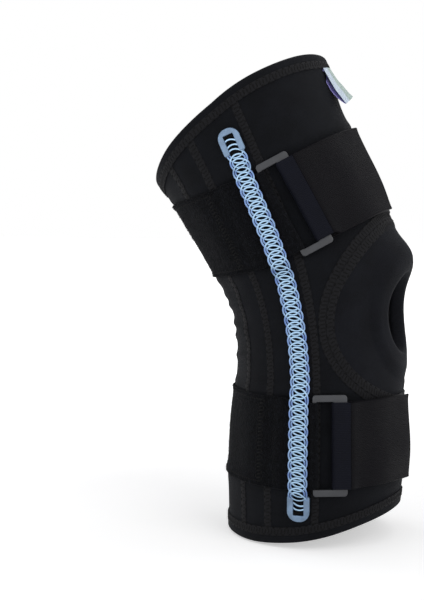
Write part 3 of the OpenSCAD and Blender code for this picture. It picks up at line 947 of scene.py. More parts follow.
def hem_skin(edge, way, settings):
    """A folded band round a hem. way is 1 at the top and -1 at the bottom."""
    roll = settings.hem_roll / MM
    base, inner_edge = -SLEEVE_THICKNESS, -HEM_WIDTH
    # Outer face from the sewn edge, the rounded fold, then the inner face
    profile = [(inner_edge - 0.3, -0.3), (inner_edge + 0.1, 0.12), (inner_edge + 0.9, 0.8 * roll)]
    profile += [(-6.9, 0.62 * roll), (-5.6, roll), (-4.2, roll + 0.08)]
    middle, half, nose = (base + roll) / 2, (roll - base) / 2, 1.7
    for a in np.radians(np.linspace(90, -90, 11)):
        profile.append((-nose + nose * math.cos(a), middle + half * math.sin(a)))
    profile += [(-4.5, base - 0.1), (inner_edge, base - 0.05), (inner_edge - 0.3, base + 0.4)]
    profile = np.array(profile)
    u = np.linspace(-180, 180, 301)[:, None]
    wave = 0.25 * np.sin(np.radians(u * 5)) * np.sin(np.radians(u * 2 + 40))
    v = edge(u) + way * (profile[None, :, 0] + wave * ease(-8, 0, profile[None, :, 0]))
    h = profile[None, :, 1] + 0 * u
    uv = np.stack(np.broadcast_arrays(u / degrees_of(1), run_along(profile)[None, :]), -1) * MM
    return swept(lay(u + 0 * v, v, h), uv)


# Name, edge line, way that it faces and body of each hem
HEMS = (("top", top_edge, 1, "thigh"), ("bottom", bottom_edge, -1, "calf"))


class SewSleeve(bpy.types.Operator):
    """Sew the front and back of the sleeve, the stay channels and both hems"""

    bl_idname = "knee_brace.sew_sleeve"
    bl_label = "Sew the sleeve"

    def execute(self, context):
        settings = context.scene.knee_brace.sleeve
        cloth = finish_for("sleeve_cloth", knitted, settings.cloth_colour, settings)
        gap = degrees_of(SEAM_GAP / 20)
        front_edge = CHANNEL_FRONT - gap
        skin = cloth_between(-front_edge, front_edge, settings, 0.0, outside_panel)
        front = make_piece("sleeve_front", skin, cloth)
        finish_piece(front, ("thigh_front_panel", "calf_front_panel"))

        skin = cloth_between(CHANNEL_BACK + gap, 360 - CHANNEL_BACK - gap, settings)
        back = make_piece("sleeve_back", skin, cloth)
        finish_piece(back, ("thigh_back_panel", "calf_back_panel", "popliteal_panel"))

        for side, name in ((1, "lateral"), (-1, "medial")):
            edges = (CHANNEL_FRONT, CHANNEL_BACK) if side > 0 else (-CHANNEL_BACK, -CHANNEL_FRONT)
            skin = cloth_between(edges[0] + gap, edges[1] - gap, settings, CHANNEL_PROUD)
            channel = make_piece(f"stay_channel_{name}", skin, cloth)
            finish_piece(channel, (f"{name}_stay_channel",))

        for name, edge, way, body in HEMS:
            hem = make_piece(f"hem_{name}", hem_skin(edge, way, settings), cloth)
            finish_piece(hem, (f"{name}_hem",), body)
        return {"FINISHED"}


# ------------------------------------------------------------------ kneecap panel
# Rows from the rim to the opening, as shares of the way
PANEL_ROWS = np.concatenate(
    [[0, 0.008, 0.02, 0.04], np.linspace(0.065, 0.94, 30), [0.955, 0.97, 0.985, 0.995, 1]]
)
# Growth of the opening and height of each row round the rolled edge
ROLLED_EDGE = (
    (-0.25, -1.6), (-0.3, -3.0), (-0.2, -4.6), (0.2, -6.0), (1.2, -6.75), (2.6, -6.85), (2.8, -5.6),
)
# Share of the way and height of each row underneath
PANEL_UNDERSIDE = ((0.93, -2.3), (0.7, -2.2), (0.4, -2.0), (0.22, -0.6), (0.12, 0.02), (0.03, 0.0))
# Growth of the opening and height of each corner of the foam ring's section
FOAM_SECTION = (
    (0.5, -3.2), (2.0, -2.85), (6.5, -2.75), (11.0, -2.85), (12.8, -3.3), (13.0, -4.4),
    (12.6, -5.7), (10.8, -6.3), (6.5, -6.5), (3.0, -6.4), (0.8, -6.0), (0.4, -4.6),
)
# How firmly the rows of the panel are held while the padding swells
PAD_ROWS = (0, 6, 12, 34, 38)
PAD_HOLDS = (1, 1, 0.15, 0.0, 1)
PAD_END = 36


def panel_rim(a):
    """Points (u, v) of the panel's rim."""
    reach = np.where(np.sin(a) > 0, PANEL_UP, PANEL_DOWN)
    return np.stack([PANEL_ANGLE * np.cos(a), PANEL_MIDDLE + reach * np.sin(a)], -1)


def opening_rim(a, grow=0.0):
    """Points (u, v) of the kneecap opening, made larger by grow."""
    u = degrees_of(OPENING_HALF_WIDTH + grow) * np.cos(a)
    return np.stack([u, OPENING_MIDDLE + (OPENING_HALF_HEIGHT + grow) * np.sin(a)], -1)


def panel_line(a, inset):
    """A line round the panel, a distance in from its rim."""
    rim, hole = panel_rim(a), opening_rim(a)
    run = (hole - rim) / np.array([degrees_of(1), 1.0])
    share = inset / np.linalg.norm(run, axis=-1, keepdims=True)
    return rim + (hole - rim) * share


def panel_sections(settings):
    """Sections of the panel from its rim over the padded ring into the opening and back underneath."""
    a = np.linspace(0, 2 * math.pi, 181)
    rim, hole = panel_rim(a), opening_rim(a)
    run = np.linalg.norm((hole - rim) / np.array([degrees_of(1), 1.0]), axis=-1)
    ring = settings.ring_height / MM
    upper = np.maximum(np.sin(a), 0) ** 2
    rows = []
    for share in PANEL_ROWS:
        from_rim, to_hole = run * share, run * (1 - share)
        # The cloth dips at its rim and under the inner row of stitches
        h = 0.55 - 0.5 * hump(from_rim, 0.7)
        h = h - 0.2 * hump(from_rim - 4.2, 0.9)
        # It is drawn into soft pleats, then rises over the ring, which is taller above the opening
        tension = 0.22 * np.sin(7 * a + 0.6 * np.sin(3 * a)) * ease(3, 12, from_rim) * ease(9, 20, to_hole)
        h = h + tension + (ring + 0.9 * upper) * (1 - ease(8.5, 17 + 12 * upper, to_hole))
        h = h - 0.16 * (1 - upper) * hump(to_hole - 15.5, 1.6)
        edge = np.clip(1 - to_hole / 4.2, 0, 1)
        h = h - (ring + 0.75) * (1 - np.sqrt(1 - edge**2))
        rows.append((rim + (hole - rim) * share, h))
    for grow, h in ROLLED_EDGE:
        rows.append((opening_rim(a, grow), np.full(len(a), h)))
    for share, h in PANEL_UNDERSIDE:
        rows.append((rim + (hole - rim) * share, np.full(len(a), h)))
    return np.stack([p for p, _ in rows], 1), np.stack([h for _, h in rows], 1)


def laid_skin(flat, high):
    """A skin over rings of flat points (u, v), each at its own height."""
    uv = np.stack([flat[..., 0] / degrees_of(1), flat[..., 1]], -1) * MM
    return swept(lay(flat[..., 0], flat[..., 1], high), uv)


def swollen(piece, held, frames, most):
    """Puffs a cloth piece up with inside pressure, and caps how far each point moves, in metres."""
    scene = bpy.context.scene
    group = piece.vertex_groups.new(name="held")
    for weight in np.unique(held):
        group.add(np.nonzero(held == weight)[0].tolist(), float(weight), "REPLACE")
    rest = np.zeros(len(held) * 3, np.float32)
    piece.data.vertices.foreach_get("co", rest)
    cloth = piece.modifiers.new("padding", "CLOTH")
    cloth.settings.quality = 6
    cloth.settings.mass = 0.2
    cloth.settings.tension_stiffness = 12
    cloth.settings.compression_stiffness = 12
    cloth.settings.bending_stiffness = 0.4
    cloth.settings.use_pressure = True
    cloth.settings.uniform_pressure_force = 4.0
    cloth.settings.vertex_group_mass = "held"
    cloth.settings.effector_weights.gravity = 0.0
    cloth.collision_settings.use_collision = False
    cloth.point_cache.frame_start = 1
    cloth.point_cache.frame_end = frames
    for step in range(1, frames + 1):
        scene.frame_set(step)
    graph = bpy.context.evaluated_depsgraph_get()
    shaped = piece.evaluated_get(graph).to_mesh()
    moved = np.zeros(len(held) * 3, np.float32)
    shaped.vertices.foreach_get("co", moved)
    piece.evaluated_get(graph).to_mesh_clear()
    piece.modifiers.remove(cloth)
    piece.vertex_groups.remove(group)
    scene.frame_set(1)
    shift = (moved - rest).reshape(-1, 3)
    size = np.linalg.norm(shift, axis=1, keepdims=True)
    if not np.isfinite(size).all():
        raise RuntimeError("the padding's simulation came apart")
    kept = most * (1 - np.exp(-size / most))
    final = rest.reshape(-1, 3) + shift / np.maximum(size, TINY) * kept
    piece.data.vertices.foreach_set("co", final.astype(np.float32).reshape(-1))
    piece.data.update()


class SewKneecapPanel(bpy.types.Operator):
    """Sew the kneecap panel with its padded ring"""

    bl_idname = "knee_brace.sew_kneecap_panel"
    bl_label = "Sew the kneecap panel"

    def execute(self, context):
        settings = context.scene.knee_brace.sleeve
        cloth = finish_for("panel_cloth", knitted, settings.panel_colour, settings, 0.012)
        flat, high = panel_sections(settings)
        panel = make_piece("kneecap_panel", laid_skin(flat, high), cloth)
        turn_outwards(panel)
        count, rows = high.shape
        row = np.arange(rows)
        hold = np.where(row > PAD_END, 1.0, np.round(np.interp(row, PAD_ROWS, PAD_HOLDS), 2))
        held = np.tile(hold, count)
        held[:rows] = 1.0
        held[-rows:] = 1.0
        swollen(panel, held, settings.puff_frames, settings.puff_height)
        finish_piece(panel, ("patella_panel",))

        a = np.linspace(0, 2 * math.pi, 145)
        flat = np.stack([opening_rim(a, grow) for grow, _ in FOAM_SECTION], 1)
        high = np.array([h for _, h in FOAM_SECTION])[None, :] + 0 * a[:, None]
        foam = finish_for("foam", foam_cover, settings.foam_colour)
        ring = make_piece("kneecap_ring", laid_skin(flat, high), foam)
        finish_piece(ring, ("patella_buttress",))
        return {"FINISHED"}


# ------------------------------------------------------------------ seams
# How far each hem's row of stitches is from its edge, and how high the rows stand
HEM_ROW = 7.7
HEM_ROW_HEIGHT = 0.72
LONG_ROW_HEIGHT = 0.3
# Distance in from the panel's rim and height of its two rows
PANEL_SEAMS = ((-2.9, 0.3), (1.9, 0.62))


def upright(u, low, high, count=60):
    """A line up the leg at one angle."""
    return np.stack([np.full(count, float(u)), np.linspace(low, high, count)], -1)


def sew_seam(context, name, lines, body=None):
    """Flat seams along lines at their heights: the bars of thread and the loose threads between them."""
    settings = context.scene.knee_brace.sleeve
    thread = sewing_thread(context)
    fill = finish_for("seam_fill", twisted_thread, settings.fill_colour)
    for kind, maker, finish in (("stitch", ladder, thread), ("tape", seam_tape, fill)):
        skin = gathered([maker(line, high, settings) for line, high in lines])
        finish_piece(make_piece(name.format(kind), skin, finish), (), body)


class StitchSeams(bpy.types.Operator):
    """Stitch the hems, the long seams and the rows round the kneecap panel"""

    bl_idname = "knee_brace.stitch_seams"
    bl_label = "Stitch the seams"

    def execute(self, context):
        u = np.linspace(-180, 180, 181)
        for name, edge, way, body in HEMS:
            line = np.stack([u, edge(u) - way * HEM_ROW], -1)
            sew_seam(context, "hem_{}_" + name, [(line, HEM_ROW_HEIGHT)], body)
        lines = []
        for angle in (CHANNEL_FRONT, CHANNEL_BACK, -CHANNEL_FRONT, -CHANNEL_BACK, BACK_SEAM, -BACK_SEAM):
            low, high = bottom_edge(angle) + HEM_WIDTH + 0.5, top_edge(angle) - HEM_WIDTH - 0.5
            lines.append((upright(angle, low, high), LONG_ROW_HEIGHT))
        sew_seam(context, "long_{}", lines)
        a = np.linspace(0, 2 * math.pi, 241)
        sew_seam(context, "panel_{}", [(panel_line(a, inset), high) for inset, high in PANEL_SEAMS])
        return {"FINISHED"}


# ------------------------------------------------------------------ stays
# Middle of the wire over the stay's underside, and how far it goes in and out in each turn
WIRE_MIDDLE = 0.62
WIRE_SWAY = 0.34
TURN_POINTS = 30
# How far either side of it a flat frame's slopes are measured, in degrees and along the leg
CAP_REACH = (5, 6)
BUCKLE_REACH = (9, 26)
CAP_LEVEL = 0.5
CAP_FEET_ROUND = 0.8
CAP_WINDOW_ROUND = 0.9
CAP_HEAD_ROUND = 5.9
# Threads of a tack, side to side, with half their length, their height and their radius
TACK_PLACES = np.linspace(-2.4, 2.4, 7)
TACK_HALF = 1.3
TACK_HEIGHT = 0.75
TACK_RADIUS = 0.3
SHARP_ANGLE = math.radians(50)


def stay_height(v):
    """The stay's underside rises over the two bands."""
    beside = [np.abs(v - side) - BAND_EDGE for side, _ in STRAP_LINES.values()]
    return STAY_LIFT + STAY_RISE * np.maximum(*[1 - ease(0, STAY_SLOPE, gap) for gap in beside])


def stay_path(side, v):
    """Places, directions across and directions outwards along a stay's line."""
    u = side * STAY_ANGLE
    place = on_leg(u, v, stay_height(v))
    forward = on_leg(u, v + 0.5, stay_height(v + 0.5)) - on_leg(u, v - 0.5, stay_height(v - 0.5))
    across = unit(on_leg(side * (STAY_ANGLE - 5), v, 0) - on_leg(side * (STAY_ANGLE + 5), v, 0))
    forward = unit(forward)
    out = unit(on_leg(u, v, 1.0) - on_leg(u, v, 0.0))
    out = unit(out - (out * forward).sum(-1, keepdims=True) * forward)
    return place, across, out


def coil(side, hand, settings):
    """One rolled wire, wound as a flat coil along the stay. hand is 1 or -1, for mirror images."""
    low, high = STAY_TIPS[0] + COIL_START, STAY_TIPS[1] - COIL_START
    reach = settings.loop_reach / MM
    inset, lean = settings.loop_inset / MM, settings.loop_lean / MM
    run = high - low - 2 * reach - 2 * lean
    whole = round(run / (settings.coil_pitch / MM) - 0.5)
    pitch = run / (whole + 0.5)
    shift = 0.0 if hand > 0 else pitch / 2 - settings.twin_gap / MM
    turns = whole + 1 if hand > 0 else whole
    phase = np.linspace(0, 2 * math.pi * turns, int(turns * TURN_POINTS)) - math.pi
    half = (settings.coil_width - settings.wire_width) / MM / 2
    x = hand * ((half - inset / 2) * np.cos(phase) + inset / 2)
    climb = pitch * (phase + math.pi / 2) / (2 * math.pi)
    v = low + reach + lean + shift + climb + reach * np.sin(phase) - lean * x / half
    place, across, out = stay_path(side, v)
    lift = WIRE_MIDDLE + WIRE_SWAY * np.sin(phase)
    path = place + across * x[:, None] + out * lift[:, None]
    flat = settings.wire_height / settings.wire_width
    return strand(path, out, settings.wire_width / MM / 2, flat, sides=8, phase=phase)


def leg_frame(u, v, side, reach):
    """A flat frame on the leg: its place, then towards the front, outwards and up the leg."""
    du, dv = reach
    place = on_leg(side * u, v, 0)
    up = unit(on_leg(side * u, v + dv, 0) - on_leg(side * u, v - dv, 0))
    t = on_leg(side * (u - du), v, 0) - on_leg(side * (u + du), v, 0)
    x = unit(t - (t @ up) * up)
    return place, x, side * np.cross(x, up), up


def cap_frame(side, top):
    """The flat frame of the cap at one end of a stay."""
    v = STAY_TIPS[1] - CAP_LENGTH / 2 if top else STAY_TIPS[0] + CAP_LENGTH / 2
    return leg_frame(STAY_ANGLE, v, side, CAP_REACH)


def rounded(points, radii, steps=6):
    """An outline with a round corner of its own radius at each point."""
    out = []
    n = len(points)
    for i, (p, r) in enumerate(zip(points, radii)):
        p = np.array(p, float)
        a, b = np.array(points[i - 1], float) - p, np.array(points[(i + 1) % n], float) - p
        a, b = a / np.linalg.norm(a), b / np.linalg.norm(b)
        if r <= 0:
            out.append(p)
            continue
        half = math.acos(np.clip(a @ b, -1, 1)) / 2
        run = r / math.tan(half)
        middle = p + unit(a + b) * r / math.sin(half)
        s, e = p + a * run - middle, p + b * run - middle
        for k in range(steps + 1):
            t = k / steps
            w = s * (1 - t) + e * t
            out.append(middle + w / np.linalg.norm(w) * r)
    return np.array(out)


def plate(outlines, thickness, edge, place):
    """A plate of a flat outline with holes, its edges rounded, set in a flat frame on the leg."""
    curve = bpy.data.curves.new("outline", "CURVE")
    curve.dimensions = "2D"
    curve.fill_mode = "BOTH"
    curve.extrude = (thickness / 2 - edge) * MM
    curve.bevel_depth = edge * MM
    curve.bevel_resolution = 3
    for outline in outlines:
        spline = curve.splines.new("POLY")
        spline.points.add(len(outline) - 1)
        flat = np.zeros((len(outline), 4))
        flat[:, :2], flat[:, 3] = outline * MM, 1
        spline.points.foreach_set("co", flat.reshape(-1))
        spline.use_cyclic_u = True
    work = placed("outline", curve)
    graph = bpy.context.evaluated_depsgraph_get()
    mesh = bpy.data.meshes.new_from_object(work.evaluated_get(graph))
    co = np.zeros(len(mesh.vertices) * 3)
    mesh.vertices.foreach_get("co", co)
    co = co.reshape(-1, 3) / MM
    faces = [list(polygon.vertices) for polygon in mesh.polygons]
    bpy.data.objects.remove(work)
    bpy.data.meshes.remove(mesh)
    origin, x, y, z, level = place
    points = origin + co[:, :1] * x + (co[:, 2:] + level) * y + co[:, 1:2] * z
    return points, faces, co[:, :2] * MM


def make_plates(name, plates, finish):
    """One piece from several plates."""
    points, faces, uv, count = [], [], [], 0
    for p, f, m in plates:
        points.append(p)
        faces += [[index + count for index in face] for face in f]
        uv.append(m)
        count += len(p)
    points, uv = np.concatenate(points), np.concatenate(uv)
    piece = placed(name, new_mesh(name, points, faces, uv, finish))
    turn_outwards(piece)
    piece.data.shade_smooth()
    piece.data.set_sharp_from_angle(angle=SHARP_ANGLE)
    return piece


def cap_outline(settings):
    """An arch with its middle open, from the open end up to the stitching slot."""
    e = settings.cap_round / MM
    half, tall, window = CAP_WIDTH / 2, CAP_LENGTH / 2, settings.window / MM / 2
    reach = CAP_SLOT + 1.1
    foot, inside, head = [CAP_FEET_ROUND] * 2, [CAP_WINDOW_ROUND] * 2, [CAP_HEAD_ROUND] * 2
    outer = [(-half + e, -tall + e), (-window - e, -tall + e)]
    outer += [(-window - e, reach + e), (window + e, reach + e)]
    outer += [(window + e, -tall + e), (half - e, -tall + e)]
    outer += [(half - e, tall - e), (-half + e, tall - e)]
    return rounded(outer, foot + inside + foot + head, 10)


def cap_tacks(frame_of_cap):
    """The threads that tack a cap down through its slot."""
    origin, x, y, z = frame_of_cap
    t = np.linspace(-1, 1, 9)
    threads = []
    for k in TACK_PLACES:
        spread = k + 0.25 * t + 0.1 * math.sin(9 * k)
        high = 1.0 + TACK_HEIGHT * (1 - t**2)
        path = origin + spread[:, None] * x + (CAP_SLOT + TACK_HALF * t)[:, None] * z + high[:, None] * y
        threads.append(strand(path, y + 0 * path, TACK_RADIUS))
    return threads


class WindStays(bpy.types.Operator):
    """Wind both spiral stays and crimp and tack their end caps"""

    bl_idname = "knee_brace.wind_stays"
    bl_label = "Wind the stays"

    def execute(self, context):
        settings = context.scene.knee_brace.stays
        steel = finish_for("spring_steel", rolled_steel, settings.wire_colour, settings.crossing_highlight_colour)
        coated = finish_for("cap_metal", coated_metal, settings.cap_colour)
        for side, name in ((1, "lateral"), (-1, "medial")):
            wires = gathered([coil(side, hand, settings) for hand in (1, -1)])
            finish_piece(make_piece(f"stay_{name}", wires, steel), (f"{name}_stay",))
        for top, name, body in ((True, "top", "thigh"), (False, "bottom", "calf")):
            plates, tacks = [], []
            for side in (1, -1):
                origin, x, y, z = cap_frame(side, top)
                z = z if top else -z
                place = (origin, x, y, z, CAP_LEVEL + CAP_THICKNESS / 2)
                plates.append(plate([cap_outline(settings)], CAP_THICKNESS, settings.cap_round / MM, place))
                tacks += cap_tacks((origin, x, y, z))
            caps = make_plates(f"stay_caps_{name}", plates, coated)
            finish_piece(caps, (f"stay_{name}_caps",), body)
            tack = make_piece(f"stay_tacks_{name}", gathered(tacks), sewing_thread(context))
            finish_piece(tack, (f"stay_{name}_tacks",), body)
        return {"FINISHED"}


# ------------------------------------------------------------------ straps and buckles
def buckle_frame(name):
    """The buckle's flat frame, leaned with the strap's slope."""
    origin, x, y, z = leg_frame(BUCKLE_ANGLE, strap_height(name, BUCKLE_ANGLE), 1, BUCKLE_REACH)
    a = math.atan2(STRAP_LINES[name][1] * math.sin(math.radians(2 * BUCKLE_ANGLE)), NOMINAL_RADIUS)
    return origin, math.cos(a) * x + math.sin(a) * z, y, math.cos(a) * z - math.sin(a) * x


def band_rows(name, u, width, h, places):
    """Rows of a band's middle surface, at angles u."""
    u = np.atleast_1d(np.asarray(u, float))[:, None]
    width, h = np.broadcast_to(width, (len(u), 1)), np.broadcast_to(h, (len(u), 1))
    v = strap_height(name, u) + places[None, :] * width / 2
    return lay(u + 0 * v, v, h + 0 * v)


def frame_rows(place, width, x, y, places):
    """Rows across the buckle, at places x towards the front and y outwards."""
    origin, ax, ay, az = place
    x, y = np.atleast_1d(x)[:, None, None], np.atleast_1d(y)[:, None, None]
    return origin + x * ax + y * ay + (places[None, :, None] * width / 2) * az


def round_bar(place, width, x, y, radius, angles, places):
    """Rows that go round a bar of the buckle, at these angles in degrees."""
    a = np.radians(np.asarray(angles, float))
    return frame_rows(place, width, x + radius * np.cos(a), y + radius * np.sin(a), places)


def frame_angle(x):
    """Angle round the leg of a place in the buckle's frame."""
    return BUCKLE_ANGLE - degrees_of(x)


# Radius of a webbing's middle round a bar, and where the straps start and end
WRAP = BAR_RADIUS + LAYER_GAP + 0.6
SEAM_START = -(CHANNEL_FRONT - 2)
FOLD_START = BUCKLE_RIGHT + 1.4
STRAP_END = frame_angle(FOLD_START + 1.2)
CREASE = FOLD_START + 0.6
# Distance of the band's stitches from its edges, their height, and the band's stitched ends
BAND_ROW = 2.6
BAND_ROW_HEIGHT = ON_SLEEVE + 0.62
BAND_ROW_ENDS = (112, 282)
BAND_CROSS_ROWS = (113.5, 281.0)
# The share of the band's way round that has loose loops, and half a loop's width
PILE_END = 0.84
LOOP_HALF = 0.075


def anchor_rows(name, settings):
    """The pile band's way round the back, round the buckle's bar and back under itself."""
    places = width_places(21)
    strap, wide = settings.strap_width / MM, settings.band_width / MM
    place = buckle_frame(name)

    def width_at(u):
        return (strap + (wide - strap) * ease(84, 100, u))[:, None]

    def height_at(u):
        return (ON_SLEEVE + 1.5 * (1 - ease(100, 106, u)))[:, None]

    over = np.linspace(360 + SEAM_START - degrees_of(SEAM_GAP), 87, 110)
    rise = frame_angle(HINGE_BAR - 3.2)
    rows = [band_rows(name, over, width_at(over), height_at(over), places)]
    rows.append(band_rows(name, rise, strap, ON_SLEEVE + 1.8, places))
    rows.append(round_bar(place, strap, HINGE_BAR, BUCKLE_HEIGHT, WRAP, np.arange(162, -110, -15), places))
    under = np.array([85.0, 90.0, 95.0, 99.0])
    rows.append(band_rows(name, under, width_at(under) - 0.02, ON_SLEEVE, places))
    return evened(np.concatenate(rows), 1.25, 2)


def pile_loops(rows, thickness, settings, seed):
    """Loose loops that stand on the band's outer face."""
    along, across = np.gradient(rows, axis=0), np.gradient(rows, axis=1)
    out = unit(np.cross(across, along))
    away = unit(rows - centre(np.zeros(1))[0])
    if (out[5] * away[5]).sum() < 0:
        out = -out
    rng = np.random.default_rng(seed)
    count = settings.loops
    last = int(rows.shape[0] * PILE_END)
    i, j = rng.integers(1, last, count), rng.integers(0, rows.shape[1] - 1, count)
    s, t = rng.random((count, 1)), rng.random((count, 1))
    p = rows[i, j] * (1 - s) + rows[i, j + 1] * s
    p = p * (1 - t) + (rows[i + 1, j] * (1 - s) + rows[i + 1, j + 1] * s) * t
    n = out[i, j]
    turn = rng.random((count, 1)) * 2 * math.pi
    way = unit(unit(along[i, j]) * np.cos(turn) + unit(across[i, j]) * np.sin(turn))
    side = np.cross(n, way)
    reach = 0.35 + 0.35 * rng.random((count, 1))
    tall = settings.loop_height / MM * (0.5 + 0.9 * rng.random((count, 1)))
    lean = rng.normal(0, 0.25, (count, 1))
    arch = np.linspace(0, math.pi, 6)
    path = []
    for a in arch:
        high = thickness / 2 - 0.1 + tall * math.sin(a)
        path.append(p + n * high - way * reach * math.cos(a) + side * lean * math.sin(a))
    path = np.stack(path, 1)
    wide = LOOP_HALF * side[:, None]
    skin = np.stack([path - wide, path + wide], 2).reshape(count, -1, 3)
    m = len(arch) * 2
    k = np.arange(len(arch) - 1) * 2
    quads = np.stack([k, k + 1, k + 3, k + 2], -1)
    faces = (quads[None] + (np.arange(count) * m)[:, None, None]).reshape(-1, 4)
    points = skin.reshape(-1, 3)
    return points, faces, points[:, :2] * MM


class LayBands(bpy.types.Operator):
    """Lay the loop pile bands round the back and through the buckles"""

    bl_idname = "knee_brace.lay_bands"
    bl_label = "Lay the pile bands"

    def execute(self, context):
        settings = context.scene.knee_brace.straps
        seams = context.scene.knee_brace.sleeve
        pile = finish_for("loop_pile", piled, settings.pile_colour)
        thread = sewing_thread(context)
        thick = settings.thickness / MM
        row = settings.band_width / MM / 2 - BAND_ROW
        for seed, name in enumerate(STRAP_LINES):
            rows = anchor_rows(name, settings)
            piece = make_piece(f"pile_band_{name}", band(rows, thick), pile)
            finish_piece(piece, (f"{name}_strap_anchor",))
            loops = make_piece(f"pile_loops_{name}", pile_loops(rows, thick, settings, 11 + seed), pile)
            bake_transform(loops)
            parts = []
            for way in (1, -1):
                u = np.linspace(*BAND_ROW_ENDS, 90)
                line = np.stack([u, strap_height(name, u) + way * row], -1)
                parts.append(straight_stitch(line, BAND_ROW_HEIGHT, seams))
            for u in BAND_CROSS_ROWS:
                v = np.linspace(-row, row, 30) + strap_height(name, u)
                parts.append(ladder(np.stack([np.full(30, u), v], -1), BAND_ROW_HEIGHT, seams))
            finish_piece(make_piece(f"band_stitch_{name}", gathered(parts), thread))
        return {"FINISHED"}


def tab_height(u, settings):
    """Height of the free end: over its hooks and the strap, higher at the buckle and at its tip."""
    base = ON_SLEEVE + settings.thickness / MM + 2 * LAYER_GAP + settings.hook_thickness / MM
    near = 2.4 * (np.maximum(u - 42, 0) / 13) ** 2
    lift = settings.tab_lift / MM * (np.maximum(TAB_END + 20 - u, 0) / 20) ** 2
    return base + near + lift


class ThreadStraps(bpy.types.Operator):
    """Bring the elastic round the front, through the buckle and back onto itself"""

    bl_idname = "knee_brace.thread_straps"
    bl_label = "Thread the straps"

    def execute(self, context):
        settings = context.scene.knee_brace.straps
        elastic = finish_for("elastic", elastic_webbing, settings.elastic_colour, settings)
        # The fold round the buckle takes the lighter, bluer colour: a painted highlight.
        highlighted = finish_for("elastic_fold", elastic_webbing, settings.fold_highlight_colour, settings)
        hooks = finish_for("hook_tape", hooked, settings.hook_colour)
        thick, wide = settings.thickness / MM, settings.strap_width / MM
        places = width_places(23)
        top = BUCKLE_HEIGHT + WRAP
        for name in STRAP_LINES:
            place = buckle_frame(name)
            body = "thigh" if name == "upper" else "calf"
            u = np.linspace(SEAM_START, STRAP_END, 100)
            skin = band(band_rows(name, u, wide, ON_SLEEVE, places), thick)
            strap = make_piece(f"elastic_strap_{name}", skin, elastic)
            finish_piece(strap, (f"{name}_strap",), body)

            fold_x, half_way = FOLD_BAR + BAR_RADIUS, (ON_SLEEVE + BUCKLE_HEIGHT - WRAP) / 2
            rows = [band_rows(name, frame_angle(FOLD_START), wide, ON_SLEEVE, places)]
            rows.append(frame_rows(place, wide, BUCKLE_RIGHT - 2, half_way - 0.4, places))
            angles = np.arange(-90, -271, -15)
            rows.append(round_bar(place, wide, fold_x, BUCKLE_HEIGHT, WRAP, angles, places))
            rows.append(frame_rows(place, wide, [BUCKLE_RIGHT - 3, CREASE - 0.04], [top, top], places))
            rows = evened(np.concatenate(rows), 0.7, 2)
            fold = make_piece(f"elastic_fold_{name}", band(rows, thick, (0.8, 0.04)), highlighted)
            finish_piece(fold, (f"{name}_strap_fold",), f"{name}_buckle")

            u = np.linspace(STRAP_END - 5, TAB_END, 60)
            rows = [frame_rows(place, wide, [CREASE + 0.04, CREASE + 1], [top, top - 0.01], places)]
            rows.append(band_rows(name, u, wide, tab_height(u, settings)[:, None], places))
            rows = evened(np.concatenate(rows), 1.0, 3)
            tab = make_piece(f"elastic_tab_{name}", band(rows, thick, (0.04, 0.8)), elastic)
            finish_piece(tab, (f"{name}_tab",), f"{name}_tab")

            drop = thick / 2 + settings.hook_thickness / MM / 2 + LAYER_GAP
            u = np.linspace(TAB_END + HOOK_INSET + degrees_of(HOOK_LENGTH), TAB_END + HOOK_INSET, 40)
            rows = band_rows(name, u, wide - 4, (tab_height(u, settings) - drop)[:, None], places)
            patch = make_piece(f"hook_patch_{name}", band(rows, settings.hook_thickness / MM), hooks)
            finish_piece(patch, (f"{name}_hook_patch",), f"{name}_tab")
        return {"FINISHED"}


class MouldBuckles(bpy.types.Operator):
    """Mould the two loop buckles"""

    bl_idname = "knee_brace.mould_buckles"
    bl_label = "Mould the buckles"

    def execute(self, context):
        settings = context.scene.knee_brace.buckles
        plastic = finish_for("buckle_plastic", moulded, settings.plastic_colour)
        e = settings.edge / MM
        left, right = HINGE_BAR - BAR_RADIUS, BUCKLE_RIGHT
        tall, slot = SLOT_LENGTH / 2 + END_BAR, SLOT_LENGTH / 2
        r = settings.corner / MM - e
        outer = [(left + e, -tall + e), (right - e, -tall + e), (right - e, tall - e), (left + e, tall - e)]
        near, far = HINGE_BAR + BAR_RADIUS - e, FOLD_BAR + e
        hole = [(near, -slot - e), (far, -slot - e), (far, slot + e), (near, slot + e)]
        outlines = [rounded(outer, [r] * 4, 8), rounded(hole, [0.9 + e] * 4, 6)[::-1]]
        for name in STRAP_LINES:
            place = buckle_frame(name) + (BUCKLE_HEIGHT,)
            piece = make_plates(f"loop_buckle_{name}", [plate(outlines, 2 * BAR_RADIUS, e, place)], plastic)
            finish_piece(piece, (f"{name}_buckle",), f"{name}_buckle")
        return {"FINISHED"}


